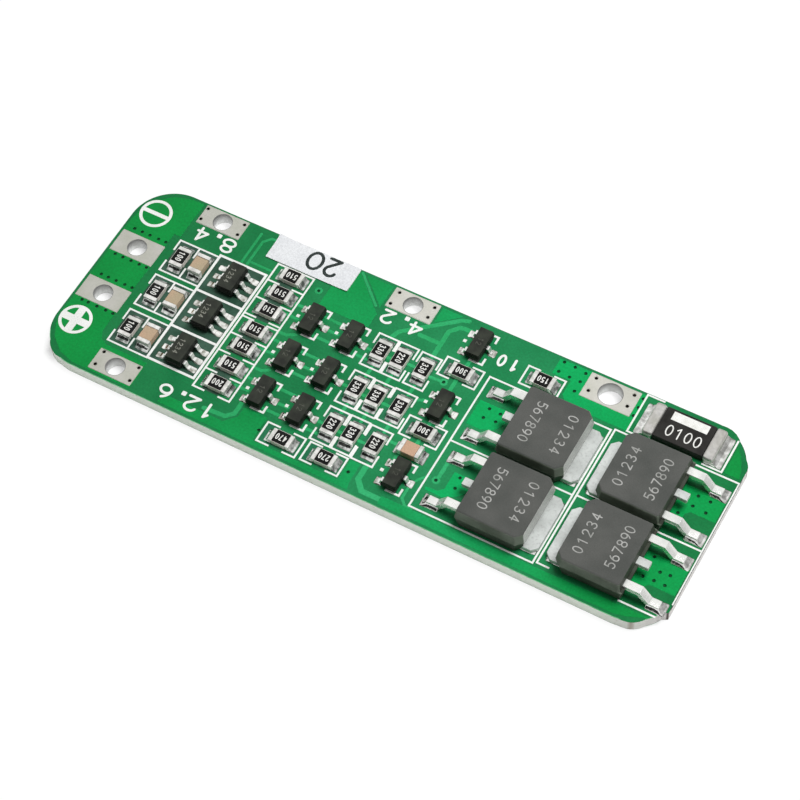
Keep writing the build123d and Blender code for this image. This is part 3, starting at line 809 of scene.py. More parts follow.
def solder_finish(name, dull, bright):
    """Solder in bright and dull patches, with a gently wrinkled skin."""
    made = Finish(name)
    wrinkle = made.noise(3.6, 2.0, 0.5)
    skin = made.blend(made.patches(made.noise(1.8, 3.0), 0.38, 0.62), dull, bright)
    made.surface(skin, wrinkle, (0.08, 0.2), wrinkle, 0.02, metal=1.0)


def tab_finish():
    """Tinned metal tabs: grainy, with painted shade where the right pair's tabs run up to their bodies."""
    made = Finish("tinned_tab_painted_shade")
    grain = made.grain(4.0)
    base = made.blend(made.patches(made.noise(0.7)), (200, 204, 201), (219, 223, 220))
    # Painted shade on the right pair's tabs near their bodies
    darker = made.blend(made.band(*TAB_SHADE), base, (172, 175, 173))
    tinned = made.blend(made.patches(grain, 0.5, 0.72, 0.6), darker, (176, 178, 176))
    made.surface(tinned, grain, (0.4, 0.52), grain, 0.004, metal=0.45)


MATERIALS = {}
# The middle colours here are painted light, brighter towards the middle of the board
mask_finish("mask_on_copper", (16, 149, 67), (14, 135, 60), 0.14, 0.12, ((28, 162, 92), (20, 147, 78)))
mask_finish("mask_on_inner_copper", (16, 160, 82), (14, 150, 72), 0.14, 0.12, ((17, 174, 96), (15, 166, 88)))
mask_finish("mask_on_track", (46, 162, 98), (34, 152, 86), 0.3, middle=((56, 178, 114), (44, 168, 100)))
mask_finish("mask_on_laminate", (28, 124, 68), (18, 112, 60), 0.2, middle=((38, 140, 86), (27, 126, 74)))
# Mask in painted shade, for inside the printed frames
mask_finish("mask_in_window_shade", (66, 98, 82), (44, 76, 60), 0.6)
mask_finish("mask_in_grid_shade", (46, 122, 84), (32, 106, 70), 0.4)
# The tin's middle colours are painted light, brighter towards the middle of the board
plain_finish("dull_tin", (199, 198, 190), (188, 189, 177), 0.5, 4.0, (0.42, 0.58), 0.006, metal=0.55,
             middle=((226, 224, 216), (214, 213, 202)), speck=240)
plain_finish("tan_ceramic", (202, 166, 139), (178, 166, 138), 0.16, 12.0, (0.35, 0.5), 0.01, 0.3,
             sharp=(0.42, 0.58))
plain_finish("bright_lead", (250, 250, 246), (228, 230, 226), 0.7, 1.6, (0.24, 0.34), 0.004, metal=0.75,
             speck=240)
# Light and dark colour, how fine the drifts and the grain are, roughness, bump, plain shine, share of metal
for look in (
    # A via's plug of mask, darkened with painted shade
    ("via_plug_shade", (20, 78, 46), (10, 48, 26), 1.4, 9.0, (0.4, 0.55), 0.01, 0.15),
    # A pale painted highlight for the mask's cut rim along the front edge
    ("mask_edge_highlight", (150, 214, 166), (104, 184, 128), 0.8, 7.0, (0.4, 0.55), 0.01, 0.15),
    ("plated_hole", (120, 118, 108), (84, 82, 76), 1.5, 12.0, (0.3, 0.5), 0.01, 0.5, 1.0),
    ("plated_cap", (250, 249, 245), (216, 215, 210), 1.1, 3.0, (0.24, 0.36), 0.008, 0.5, 0.6),
    ("shunt_cap", (214, 212, 208), (192, 191, 183), 0.9, 3.0, (0.3, 0.44), 0.008, 0.5, 0.8),
    ("grey_mould", (92, 93, 90), (80, 82, 79), 0.3, 16.0, (0.46, 0.6), 0.014, 0.2),
    # Copies of the mould for its walls: a painted sheen, a painted wall tone and painted shade low down
    ("mould_painted_sheen", (196, 198, 194), (172, 174, 170), 0.5, 16.0, (0.2, 0.3), 0.004, 0.5),
    ("mould_painted_wall_tone", (110, 119, 107), (84, 92, 80), 0.5, 16.0, (0.4, 0.55), 0.014, 0.15),
    ("mould_painted_shade", (72, 77, 68), (54, 58, 51), 0.5, 16.0, (0.4, 0.55), 0.014, 0.15),
    ("black_mould", (58, 62, 54), (42, 44, 40), 0.9, 16.0, (0.36, 0.5), 0.014, 0.14),
    # Black mould in painted shade, for the small bodies' walls
    ("black_mould_painted_shade", (34, 37, 32), (22, 24, 21), 0.9, 16.0, (0.4, 0.55), 0.014, 0.12),
    ("etched_mark", (182, 182, 179), (152, 153, 149), 1.2, 14.0, (0.55, 0.7), 0.006, 0.2),
    ("faint_mark", (158, 158, 148), (118, 119, 110), 1.6, 14.0, (0.5, 0.7), 0.006, 0.15),
    ("dim_mark", (92, 94, 86), (70, 72, 65), 1.6, 14.0, (0.5, 0.7), 0.006, 0.15),
    ("white_alumina", (240, 234, 228), (222, 215, 207), 0.8, 14.0, (0.5, 0.65), 0.008, 0.3),
    ("black_film", (26, 27, 26), (15, 16, 15), 0.8, 14.0, (0.3, 0.45), 0.004, 0.1),
    ("film_ink", (250, 250, 246), (232, 232, 226), 1.6, 14.0, (0.45, 0.6), 0.004, 0.2),
    ("shunt_coat", (52, 51, 49), (38, 37, 35), 0.7, 12.0, (0.38, 0.52), 0.01, 0.12),
    ("white_print", (252, 252, 250), (240, 242, 238), 0.5, 9.0, (0.5, 0.65), 0.006, 0.2),
    ("label_paper", (237, 239, 241), (228, 230, 233), 0.35, 8.0, (0.55, 0.7), 0.01, 0.2),
    ("label_ink", (56, 64, 62), (42, 50, 48), 1.2, 12.0, (0.5, 0.65), 0.004, 0.2),
):
    plain_finish(*look)
edge_finish()
laminate_finish()
barrel_finish()
tab_finish()
solder_finish("broad_solder", (176, 176, 172), (240, 240, 237))
solder_finish("chip_solder", (104, 110, 105), (226, 228, 224))
solder_finish("lead_solder", (158, 158, 148), (248, 248, 244))


# Board

def edge_wobble(distance):
    """A small inward step of the routed edge, by the distance along it."""
    return EDGE_WOBBLE * (noise.noise(Vector((distance * WOBBLE_PACE, 4.2, 0.0))) - 1.0) / 2


def stub_turns(corner, angle):
    """An angle's turns from the middles of the stubs that it is on, as shares of a stub's half."""
    turns = [(angle - middle + 180) % 360 - 180 for x, y, middle in STUBS if (x, y) == corner]
    return [turn / STUB_HALF_ANGLE for turn in turns if abs(turn) < STUB_HALF_ANGLE]


def plain_reach(corner, angle):
    """The distance of the board's plain corner from the middle of its arc."""
    if corner != SQUARE_CORNER:
        return CORNER_RADIUS
    square = CORNER_RADIUS / math.cos(math.radians(max(angle, SQUARE_END)))
    share = min(1.0, max(0.0, (angle - SQUARE_END) / SQUARE_BREAK + 1))
    return CORNER_RADIUS + (square - CORNER_RADIUS) * share


def corner_reach(corner, angle, with_stubs):
    """The distance of the board's corner from the middle of its arc, with the broken stubs on it."""
    reach = plain_reach(corner, angle) + edge_wobble(angle * 0.07 + corner[0] * 50 + corner[1] * 20)
    for turn in stub_turns(corner, angle) if with_stubs else ():
        reach = max(reach, CORNER_RADIUS + STUB_RISE * (1 - turn ** 2) - random.uniform(0, STUB_WOBBLE))
    return reach


def heading(angle):
    return Vector((math.cos(math.radians(angle)), math.sin(math.radians(angle))))


def in_half(value, whole):
    """A coordinate, kept just inside the board's straight edges."""
    limit = whole / 2 - EDGE_CLEARANCE
    return max(-limit, min(limit, value))


def board_outline(inset=0.0):
    """The board's edge, anticlockwise from the start of the lower right corner. Inset, it has no stubs."""
    outline = []
    half = Vector((BOARD_LENGTH / 2 - CORNER_RADIUS, BOARD_WIDTH / 2 - CORNER_RADIUS))
    corners = ((1, -1), (1, 1), (-1, 1), (-1, -1))
    for k, corner in enumerate(corners):
        start = 90 * k - 90
        centre = half * Vector(corner)
        for angle in range(start, start + 91, CORNER_STEP):
            reach = corner_reach(corner, angle, inset == 0.0) - inset
            spot = centre + reach * heading(angle)
            outline.append(Vector((in_half(spot.x, BOARD_LENGTH), in_half(spot.y, BOARD_WIDTH))))
        outward = heading(start + 90)
        begin = centre + CORNER_RADIUS * outward
        end = half * Vector(corners[(k + 1) % 4]) + CORNER_RADIUS * outward
        count = round((end - begin).length / EDGE_STEP)
        for step in range(1, count):
            wobble = edge_wobble(step * EDGE_STEP + k * 100)
            outline.append(begin.lerp(end, step / count) + outward * (wobble - inset))
    return outline


def via_places():
    """Every via in the solder mask, and not on a terminal."""
    rows = [(x, y) for y, places in VIA_ROWS for x in places]
    return [*rows, *RINGED_VIAS, *LOOSE_VIAS]


def holes_in_board():
    """The via holes, and the wire holes with their lips."""
    wires = [circle(x, y, radius + HOLE_LIP / 2, HOLE_SIDES) for x, y, _, _, radius in TERMINALS.values()]
    return wires + via_holes()


def via_holes():
    return [circle(x, y, VIA_RADIUS, VIA_SIDES) for x, y in [*via_places(), *PAD_VIAS]]


def rim_finish(y):
    """The mask's cut rim: a pale painted highlight along the front edge, and painted shade elsewhere."""
    return HIGHLIGHT_RIM if y < HIGHLIGHT_RIM_END else SHADED_RIM


def from_corner(x, y):
    """How far a place is past the middle of its corner's arc in X and Y, the corner and the angle."""
    over_x = abs(x) - (BOARD_LENGTH / 2 - CORNER_RADIUS)
    over_y = abs(y) - (BOARD_WIDTH / 2 - CORNER_RADIUS)
    corner = (math.copysign(1, x), math.copysign(1, y))
    return over_x, over_y, corner, math.degrees(math.atan2(corner[1] * over_y, corner[0] * over_x))


def on_break(x, y):
    """Whether a place on the board's edge is on a broken stub, where the laminate is bare."""
    over_x, over_y, corner, angle = from_corner(x, y)
    if over_x < 0 or over_y < 0:
        return False
    past_square = abs(angle - SQUARE_END + SQUARE_BREAK / 2) < SQUARE_BREAK
    return bool(stub_turns(corner, angle)) or (corner == SQUARE_CORNER and past_square)


def edge_distance(x, y):
    """How far a point lies inside the board's plain edge."""
    over_x, over_y, corner, angle = from_corner(x, y)
    if over_x > 0 and over_y > 0:
        return plain_reach(corner, angle) - math.hypot(over_x, over_y)
    return CORNER_RADIUS - max(over_x, over_y)


def wall_bands(edge_depth, x, y):
    """The finishes of a cut wall, from its top to its bottom."""
    if edge_depth > MASK_PULLBACK * 2:
        return (HOLE_WALL,) * 4
    if on_break(x, y):
        return (BARE,) * 4
    rim = rim_finish(y)
    return (rim, rim if rim == SHADED_RIM else BARE, BARE, rim)


def board():
    """The laminate: a skin of mask on each face, bare stubs, pale cut edges and plated via holes."""
    shape = Shape()
    outlines = [board_outline(), board_outline(MASK_PULLBACK)]
    points, triangles, sources = sorted_region(outlines, holes_in_board())
    levels = (BOARD_TOP, BOARD_TOP - MASK_THICKNESS, BOARD_TOP - SHADED_RIM_DEPTH, BOARD_UNDER + MASK_THICKNESS,
              BOARD_UNDER)
    count = len(points)
    underside = (len(levels) - 1) * count
    shape.add([(x, y, z) for z in levels for x, y in points], [list(face) for face in triangles])
    shape.faces += [[k + underside for k in reversed(face)] for face in triangles]
    shape.finishes += [0] * len(triangles)
    for n, (face, source) in enumerate(zip(triangles, sources)):
        middle = sum((Vector(points[k]) for k in face), Vector((0, 0))) / 3
        if 1 not in source and not on_break(*middle):
            shape.finishes[n] = shape.finishes[n + len(triangles)] = rim_finish(middle.y)
    for a, b in sorted(border(triangles)):
        depth = min(edge_distance(*points[a]), edge_distance(*points[b]))
        for level, finish in enumerate(wall_bands(depth, *points[a])):
            above = level * count
            below = above + count
            shape.faces.append([a + below, b + below, b + above, a + above])
            shape.finishes.append(finish)
    finishes = ["mask_on_laminate", "glass_laminate", "plated_hole", "mask_edge_highlight", "shaded_mask_edge"]
    dress("circuit_board", shape, finishes, smooth_angle=30)


def track_outlines():
    shapes = [stroke(points, width) for width, points in TOP_TRACKS]
    for left, right, rows in LEVEL_LINKS:
        shapes += [stroke(((left, y), (right, y)), LEVEL_LINK_WIDTH) for y in rows]
    for x, spans in UPRIGHT_LINKS:
        shapes += [stroke(((x, low), (x, high)), UPRIGHT_LINK_WIDTH) for low, high in spans]
    return shapes + [circle(x, y, VIA_RING, RING_SIDES) for x, y in RINGED_VIAS]


def flat_piece(name, finish, outlines, holes, low, high, rim, raised_low=False):
    """Copper that shows as raised, brighter places in the mask, or painted shade on the mask in the printed
    frames.
    """
    shape = Shape()
    plate(shape, region(outlines, holes), low, high, rim, raised_low=raised_low)
    make_piece(name, shape, [finish], smooth_angle=30)


def via_plugs():
    """Mask that has run into the small holes and closed them with a dish just below the surface, darkened
    with painted shade.
    """
    shape = Shape()
    around = range(VIA_SIDES)
    for x, y in via_places():
        rim = circle(x, y, VIA_RADIUS + PLUG_OVERLAP, VIA_SIDES)
        corners = [(px, py, BOARD_TOP - depth) for depth in (PLUG_DEPTH, 2 * PLUG_DEPTH) for px, py in rim]
        dish = [[k, (k + 1) % VIA_SIDES, 2 * VIA_SIDES] for k in around]
        walls = [[k + VIA_SIDES, (k + 1) % VIA_SIDES + VIA_SIDES, (k + 1) % VIA_SIDES, k] for k in around]
        shape.add([*corners, (x, y, BOARD_TOP - 1.5 * PLUG_DEPTH)],
                  [*dish, *walls, [k + VIA_SIDES for k in reversed(around)]])
    make_piece("via_plugs", shape, ["via_plug_shade"])


def terminal(name, x, y, length, width, radius):
    """A tinned pad on each face with soft edges, and the plated barrel of its wire hole."""
    shape = Shape()
    outline = rounded_outline(x, y, length, width, TIN_CORNER)
    vias = [circle(vx, vy, VIA_RADIUS, VIA_SIDES) for vx, vy in PAD_VIAS
            if abs(vx - x) < length / 2 and abs(vy - y) < width / 2]
    lip = radius + HOLE_LIP
    flat = region([outline], [circle(x, y, lip, HOLE_SIDES), *vias])

    def at_hole(px, py):
        return math.hypot(px - x, py - y) < lip + HOLE_LIP

    top = BOARD_TOP + TIN_HEIGHT
    plate(shape, flat, BOARD_TOP, top, TIN_RIM, held=at_hole)
    plate(shape, flat, 0.0, BOARD_UNDER, TIN_RIM, raised_low=True, held=at_hole)
    upper = [(top - depth, radius + HOLE_LIP * share) for depth, share in LIP_CURVE]
    lower = [(depth, radius + HOLE_LIP * share) for depth, share in reversed(UNDER_LIP_CURVE)]
    rings = [[(px, py, z) for px, py in circle(x, y, r, HOLE_SIDES)] for z, r in upper + lower]
    loft(shape, rings[::-1], True, 1)
    dress(name, shape, ["dull_tin", "tinned_barrel_painted_shading"], smooth_angle=32)


def board_print():
    """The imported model's white frames and signs, with the ink's rounded edge."""
    mesh = frame["nodes"]["printed_marks"].data
    top = max(v.co.z for v in mesh.vertices)
    spots = {}
    faces = []
    for polygon in mesh.polygons:
        corners = [mesh.vertices[k].co for k in polygon.vertices]
        if min(c.z for c in corners) > top - 1e-6:
            keys = [(round(c.x / MM, 4), round(c.y / MM, 4)) for c in corners]
            faces.append([spots.setdefault(key, len(spots)) for key in keys])
    points = [(x + EDGE_LINE_SHIFT, y) if EDGE_LINE[0] < x < EDGE_LINE[1] else (x, y) for x, y in spots]
    flat = region([[points[k] for k in face] for face in faces], [box_outline(*HIDDEN_PRINT)])
    shape = Shape()
    plate(shape, flat, BOARD_TOP, BOARD_TOP + PRINT_HEIGHT, PRINT_RIM)
    dress("printed_marks", shape, ["white_print"])


def upside_down(shape, figures, line, low, high):
    """Figures that stand on their heads, each in its own box."""
    for character, left, bottom, right, top in figures:
        flat = figure(character, right - left, top - bottom, line)
        plate(shape, turned(flat, (right, top), (-1, 0)), low, high)


def board_figures():
    """Plain numbers beside the terminals, printed upside down as the board lies."""
    shape = Shape()
    levels = (BOARD_TOP, BOARD_TOP + PRINT_HEIGHT)
    upside_down(shape, BOARD_FIGURES, PRINT_STROKE, *levels)
    for x, y in BOARD_DOTS:
        plate(shape, region([rounded_outline(x, y, DOT, DOT, DOT_CORNER)]), *levels)
    make_piece("printed_figures", shape, ["white_print"])


# Label

def label_height(x, y, low, high):
    """The paper lies flat but for gentle waves and two corners that have begun to lift."""
    place = Vector((x * LABEL_WAVE_PACE[0], y * LABEL_WAVE_PACE[1], 1.5))
    height = BOARD_TOP + PRINT_HEIGHT + LABEL_WAVE * (noise.noise(place) + 1)
    for corner_x, corner_y, share in ((low.x, high.y, 1.0), (high.x, low.y, SMALLER_CURL)):
        away = math.hypot(x - corner_x, y - corner_y)
        height += share * LABEL_CURL * max(0.0, 1 - away / LABEL_CURL_REACH) ** 2
    return height


def paper_label():
    """A thin sheet over a grid of points, and the figures written on it."""
    solid = solids("paper_label")[0]
    low, high = solid.low, solid.high
    across, up = LABEL_STEPS
    under = []
    for j in range(up + 1):
        for i in range(across + 1):
            x = low.x + (high.x - low.x) * i / across
            y = low.y + (high.y - low.y) * j / up
            under.append((x, y, label_height(x, y, low, high)))
    over = [(x, y, z + LABEL_THICKNESS) for x, y, z in under]
    cells, ring = grid(across, up)
    count = len(over)
    faces = cells + [[k + count for k in reversed(cell)] for cell in cells]
    faces += [[a + count, b + count, b, a] for a, b in zip(ring, ring[1:] + ring[:1])]
    shape = Shape()
    shape.add(over + under, faces)
    dress("paper_label", shape, ["label_paper"], smooth_angle=50)
    ink = Shape()
    upside_down(ink, LABEL_FIGURES, LABEL_STROKE, 0.0, INK_THICKNESS)
    lift = LABEL_THICKNESS - INK_THICKNESS / 3
    ink.points = [(x, y, z + label_height(x, y, low, high) + lift) for x, y, z in ink.points]
    make_piece("label_figures", ink, ["label_ink"])


# Moulded bodies

def body_outline(length, width, front, back, trim):
    """A rectangle with its corners cut, wider cuts at the +X end, and its -X end trimmed."""
    x = length / 2
    y = width / 2
    low_x = -x + trim
    return [(x - front, -y), (x, -y + front), (x, y - front), (x - front, y),
            (low_x + back, y), (low_x, y - back), (low_x, -y + back), (low_x + back, -y)]


def moulded(shape, body, turn, levels, front, back, painted_levels, trim=0.0):
    """A block whose outline changes with its height: levels hold a height, an end inset and a side inset.

    A trim draws in the -X end of the upper half. The +X end takes the painted sheen; on the painted levels
    the other walls take the painted wall tone, and painted shade on the lowest level and at the lead end.
    """
    size = body.high - body.low
    rings = []
    for n, (height, end, side) in enumerate(levels):
        outline = body_outline(size.x - 2 * end, size.y - 2 * side, front, back,
                               trim if n >= UPPER_LEVEL else 0.0)
        rings.append([(body.middle.x + turn * x, body.middle.y + turn * y, height) for x, y in outline])
    first = loft(shape, rings)
    sides = len(rings[0])
    for n in range(sides * (len(rings) - 1)):
        level, side = divmod(n, sides)
        if side == FRONT_SIDE:
            shape.finishes[first + n] = PAINTED_SHEEN_END
        elif level < painted_levels:
            shape.finishes[first + n] = PAINTED_SHADE_LOW if level == 0 or side == LEAD_SIDE else PAINTED_WALL_TONE


def waisted(low, high, waist, draft, shoulder=((0.0, 0.0),)):
    """Heights and insets of a body that leans in above and below a thin ridge, with round long shoulders."""
    levels = [(low, (waist - low) * math.tan(draft), (waist - low) * math.tan(draft)),
              (waist - FLASH_HEIGHT, FLASH, FLASH), (waist - FLASH_HEIGHT / 3, 0.0, 0.0),
              (waist + FLASH_HEIGHT / 3, 0.0, 0.0), (waist + FLASH_HEIGHT, FLASH, FLASH)]
    for depth, curve in shoulder:
        lean = (high - depth - waist) * math.tan(draft)
        levels.append((high - depth, lean, lean + curve))
    return levels


def power_body(k):
    """A power transistor's body, with two rows of figures."""
    node = f"mosfet_{k}_body"
    body = solids(node)[0]
    turn = 1 if solids(f"mosfet_{k}_tab")[0].middle.x > body.middle.x else -1
    shape = Shape()
    top = body.high.z - TOP_MARGIN
    levels = waisted(body.low.z, top, body.low.z + POWER_WAIST, POWER_DRAFT, SHOULDER)
    moulded(shape, body, turn, levels, POWER_CORNER, POWER_BACK_CORNER, len(levels) - 3,
            LEAD_SIDE_TRIM if turn < 0 else 0.0)
    # After the top's finish come the painted sheen, the painted wall tone and painted shade
    finishes = ["grey_mould", "mould_painted_sheen", "mould_painted_wall_tone", "mould_painted_shade"]
    soften(dress(node, shape, finishes), POWER_ROUNDING, angle=32)
    marks = Shape()
    for text, up, start, style in POWER_ROWS:
        origin = (body.middle.x + turn * (up - style[1] / 2), body.middle.y + turn * start)
        number(marks, text, origin, (0, -turn), style, top)
    make_piece(f"mosfet_{k}_figures", marks, ["etched_mark"])


def small_body(node):
    body = solids(node)[0]
    shape = Shape()
    levels = waisted(body.low.z, body.high.z, body.middle.z + SMALL_WAIST_RISE, SMALL_DRAFT)
    moulded(shape, body, 1, levels, SMALL_CORNER, SMALL_CORNER, len(levels) - 1)
    # The small bodies' walls all take black mould in painted shade
    finishes = ["black_mould", "black_mould_painted_shade", "black_mould_painted_shade", "black_mould_painted_shade"]
    soften(dress(node, shape, finishes), SMALL_ROUNDING, segments=3, angle=18)


def small_marks(kind, count, text, back, finish):
    """Faint figures along the top of each small package of one kind."""
    shape = Shape()
    width, _, pitch, _ = SMALL_FIGURE
    side = (len(text) - 1) / 2 * pitch + width / 2
    for k in range(1, count + 1):
        body = solids(f"{kind}_{k}_body")[0]
        start = (body.middle.x - back, body.middle.y + side)
        number(shape, text, start, (0, -1), SMALL_FIGURE, body.high.z)
    make_piece(f"{kind}_figures", shape, [finish])


def bent_metal(node, finish, rounding):
    """A tab or a set of leads, with the edges of stamped metal."""
    piece = dress(node, cleaned(node), [finish], smooth_angle=50)
    soften(piece, rounding, angle=25)


# Solder

def edge_round(distance):
    """The height share of a rounded edge, by the distance from it."""
    share = min(1.0, max(0.0, distance / SOLDER_EDGE))
    return math.sqrt(1 - (1 - share) ** 2)


def squared_in(u, v, half_x, half_y):
    """A point of a square grid, moved so that the grid fills a rectangle with round corners."""
    x = u * half_x
    y = v * half_y
    radius = min(SOLDER_CORNER, half_x, half_y)
    over_x = (abs(x) - (half_x - radius)) / radius
    over_y = (abs(y) - (half_y - radius)) / radius
    if over_x > 0 and over_y > 0:
        x = math.copysign(half_x - radius + radius * over_x * math.sqrt(1 - over_y ** 2 / 2), x)
        y = math.copysign(half_y - radius + radius * over_y * math.sqrt(1 - over_x ** 2 / 2), y)
    return x, y


def joint(shape, pad, foot, climb, contact_top):
    """Solder over one pad: round at the rim and drawn up the sides of the metal that it holds."""
    rise, reach = climb
    half = (pad.high - pad.low) / 2
    if foot.flat:
        half.y = (foot.high.y - foot.low.y) / 2
    spacing = [-math.cos(math.pi * k / (SOLDER_STEPS - 1)) for k in range(SOLDER_STEPS)]
    corners = []
    for v in spacing:
        for u in spacing:
            x, y = squared_in(u, v, half.x, half.y)
            x += pad.middle.x
            y += pad.middle.y
            from_edge = min((1 - abs(u)) * half.x, (1 - abs(v)) * half.y)
            away_x = max(foot.low.x - x, x - foot.high.x, 0.0)
            away_y = max(foot.low.y - y, y - foot.high.y, 0.0)
            pull = max(0.0, 1 - math.hypot(away_x, away_y) / reach) ** 2
            lump = SOLDER_LUMP * noise.noise(Vector((x * LUMP_SCALE, y * LUMP_SCALE, pad.middle.x)))
            height = SOLDER_SKIN + min(rise, contact_top) * pull + lump
            corners.append((x, y, pad.low.z + max(0.0, height) * edge_round(from_edge)))
    cells, ring = grid(SOLDER_STEPS - 1, SOLDER_STEPS - 1)
    shape.add(corners, [*cells, ring[::-1]])


def overlap(pad, metal):
    """The area that two boxes share, seen from above."""
    x = min(pad.high.x, metal.high.x) - max(pad.low.x, metal.low.x)
    y = min(pad.high.y, metal.high.y) - max(pad.low.y, metal.low.y)
    return x * y if x > 0 and y > 0 else 0.0


def feet(nodes):
    """The flat underside of each piece of metal that stands on a pad."""
    found = []
    for node in nodes:
        for metal in solids(node):
            standing = [p for p in metal.points if p[2] < BOARD_TOP + TIN_HEIGHT + FOOT_MARGIN]
            if standing:
                foot = Solid(standing)
                foot.top = metal.high.z
                foot.flat = node.endswith("_tab")
                found.append(foot)
    return found


def solder(node, metals, climb, share, finish):
    """All the joints of one solder node. The solder climbs up to a share of its metal's height."""
    shape = Shape()
    standing = feet(metals)
    for pad in solids(node):
        foot = max(standing, key=lambda f: overlap(pad, f))
        joint(shape, pad, foot, TAB_CLIMB if foot.flat else climb, (foot.top - BOARD_TOP) * share)
    dress(node, shape, [finish], smooth_angle=60)


# Chips

def chip_block(shape, low, high):
    outline = box_outline(low.x, high.x, low.y, high.y)
    loft(shape, [[(x, y, z) for x, y in outline] for z in (low.z, high.z)])


def lies_level(body, caps):
    """Whether a chip lies along X, by the nearest of its caps."""
    along = min((c.middle - body.middle for c in caps), key=lambda step: step.length)
    return abs(along.x) > abs(along.y)


def resistor_family(family):
    """White ceramic cores under the caps, each with a black film on top and a plain number."""
    cores = Shape()
    films = Shape()
    caps = solids(f"{family}_end_caps")
    for body, text in zip(solids(f"{family}_bodies"), CHIP_NUMBERS[family] * 3):
        level = lies_level(body, caps)
        inset = Vector((0.0, FILM_INSET)) if level else Vector((FILM_INSET, 0.0))
        size = (body.high - body.low).xy - 2 * inset
        core_top = body.high.z - CORE_MARGIN
        chip_block(cores, body.low, Vector((*body.high.xy, core_top)))
        outline = rounded_outline(*body.middle.xy, *size, FILM_CORNER)
        plate(films, region([outline]), core_top, core_top + FILM_THICKNESS, FILM_RIM)
        chip_number(films, text, body, level, core_top + FILM_THICKNESS)
    make_piece(f"dressed_{family}_cores", cores, ["white_alumina"], f"{family}_bodies")
    make_piece(f"{family}_films", films, ["black_film", "film_ink"])


def chip_number(shape, text, body, level, top):
    """A small number across the film, read along the chip, or down it where it stands upright."""
    width, height, pitch, _ = CHIP_FIGURE
    along = Vector((-1, 0)) if level else Vector((0, -1))
    up = Vector((-along.y, along.x))
    run = (len(text) - 1) * pitch + width
    number(shape, text, body.middle.xy - along * run / 2 - up * height / 2, along, CHIP_FIGURE, top, 1)


def end_caps(node, rounding=CHIP_ROUNDING, finish="plated_cap"):
    """Plated caps that wrap each end of a chip, soft at their corners."""
    shape = Shape()
    for cap in solids(node):
        chip_block(shape, cap.low, cap.high)
    soften(dress(node, shape, [finish]), rounding, segments=3)


def capacitors():
    shape = Shape()
    margin = Vector((1, 1, 1)) * CERAMIC_MARGIN
    for body in solids("capacitor_bodies"):
        chip_block(shape, body.low + margin * Vector((0, 0, 1)), body.high - margin)
    soften(dress("capacitor_bodies", shape, ["tan_ceramic"]), CHIP_ROUNDING, segments=3)


def shunt():
    """The current-sense resistor: dark coat between two broad rounded caps, with a bar and a number."""
    body = solids("shunt_body")[0]
    shape = Shape()
    chip_block(shape, body.low, body.high)
    soften(dress("shunt_body", shape, ["shunt_coat"]), CHIP_ROUNDING)
    end_caps("shunt_end_caps", SHUNT_ROUNDING, "shunt_cap")
    marks = Shape()
    left, right, bottom, top = SHUNT_BAR
    x, y, _ = body.middle
    plate(marks, region([box_outline(x + left, x + right, y + bottom, y + top)]), body.high.z,
          body.high.z + MARK_THICKNESS)
    start = (x + SHUNT_NUMBER_START[0], y + SHUNT_NUMBER_START[1])
    number(marks, SHUNT_NUMBER, start, (1, 0), SHUNT_FIGURE, body.high.z)
    make_piece("shunt_marks", marks, ["film_ink"])


# Stage

def aim(made, place, back, roll=0.0):
    """Puts a camera or a lamp at a place, facing away from a direction."""
    made.location = place * MM
    made.rotation_mode = "QUATERNION"
    made.rotation_quaternion = (-back).to_track_quat("-Z", "Y") @ Quaternion((0, 0, 1), roll)


def camera():
    data = bpy.data.cameras.new("camera")
    data.lens = CAMERA_LENS
    data.sensor_width = CAMERA_SENSOR
    data.clip_start = 0.001
    data.clip_end = 10.0
    made = placed("camera", data)
    x, y = math.sin(CAMERA_AZIMUTH), -math.cos(CAMERA_AZIMUTH)
    flat = math.cos(CAMERA_ELEVATION)
    back = Vector((x * flat, y * flat, math.sin(CAMERA_ELEVATION)))
    aim(made, CAMERA_TARGET + back * CAMERA_DISTANCE, back, CAMERA_ROLL)
    bpy.context.scene.camera = made


def seen_directly(tree):
    """A factor of 1 where a ray comes straight from the camera, a mirror or a clear material."""
    path = tree.nodes.new("ShaderNodeLightPath")
    total = path.outputs["Is Camera Ray"]
    for name in ("Is Glossy Ray", "Is Transmission Ray"):
        total = calculate(tree, "MAXIMUM", total, path.outputs[name])
    return total


def outside_board(tree):
    """The floor's share of glow: less right under the board, where it is in shade."""
    place = add_node(tree, "TexCoord", {}, "Object")
    beyond = []
    for name, whole in (("X", BOARD_LENGTH), ("Y", BOARD_WIDTH)):
        size = calculate(tree, "ABSOLUTE", axis(tree, place, name))
        beyond.append(calculate(tree, "SUBTRACT", size, whole * MM / 2))
    return spread(tree, calculate(tree, "MAXIMUM", *beyond), -MM, 0.0, *FLOOR_SHARES)


def staged_sheet(name, corners):
    """A flat sheet that belongs to the stage, and its new material's tree."""
    mesh = bpy.data.meshes.new(name)
    mesh.from_pydata([Vector(c) * MM for c in corners], [], [(0, 1, 2, 3)])
    material = bpy.data.materials.new(name)
    material.use_nodes = True
    mesh.materials.append(material)
    made = placed(name, mesh)
    return made, material.node_tree


def floor():
    """A white floor that keeps a faint shadow."""
    outline = box_outline(-FLOOR_HALF, FLOOR_HALF, -FLOOR_HALF, FLOOR_HALF)
    _, tree = staged_sheet("floor", [(x, y, -FLOOR_DEPTH) for x, y in outline])
    shader = tree.nodes["Principled BSDF"]
    connect(tree, shader, {"Base Color": FLOOR_COLOUR, "Roughness": 0.9, "Specular IOR Level": 0.0})
    glow = add_node(tree, "Emission", {"Strength": FLOOR_GLOW})
    share = calculate(tree, "MULTIPLY", seen_directly(tree), outside_board(tree))
    mixed = add_node(tree, "MixShader", {0: share, 1: shader.outputs[0], 2: glow})
    connect(tree, tree.nodes["Material Output"], {0: mixed})


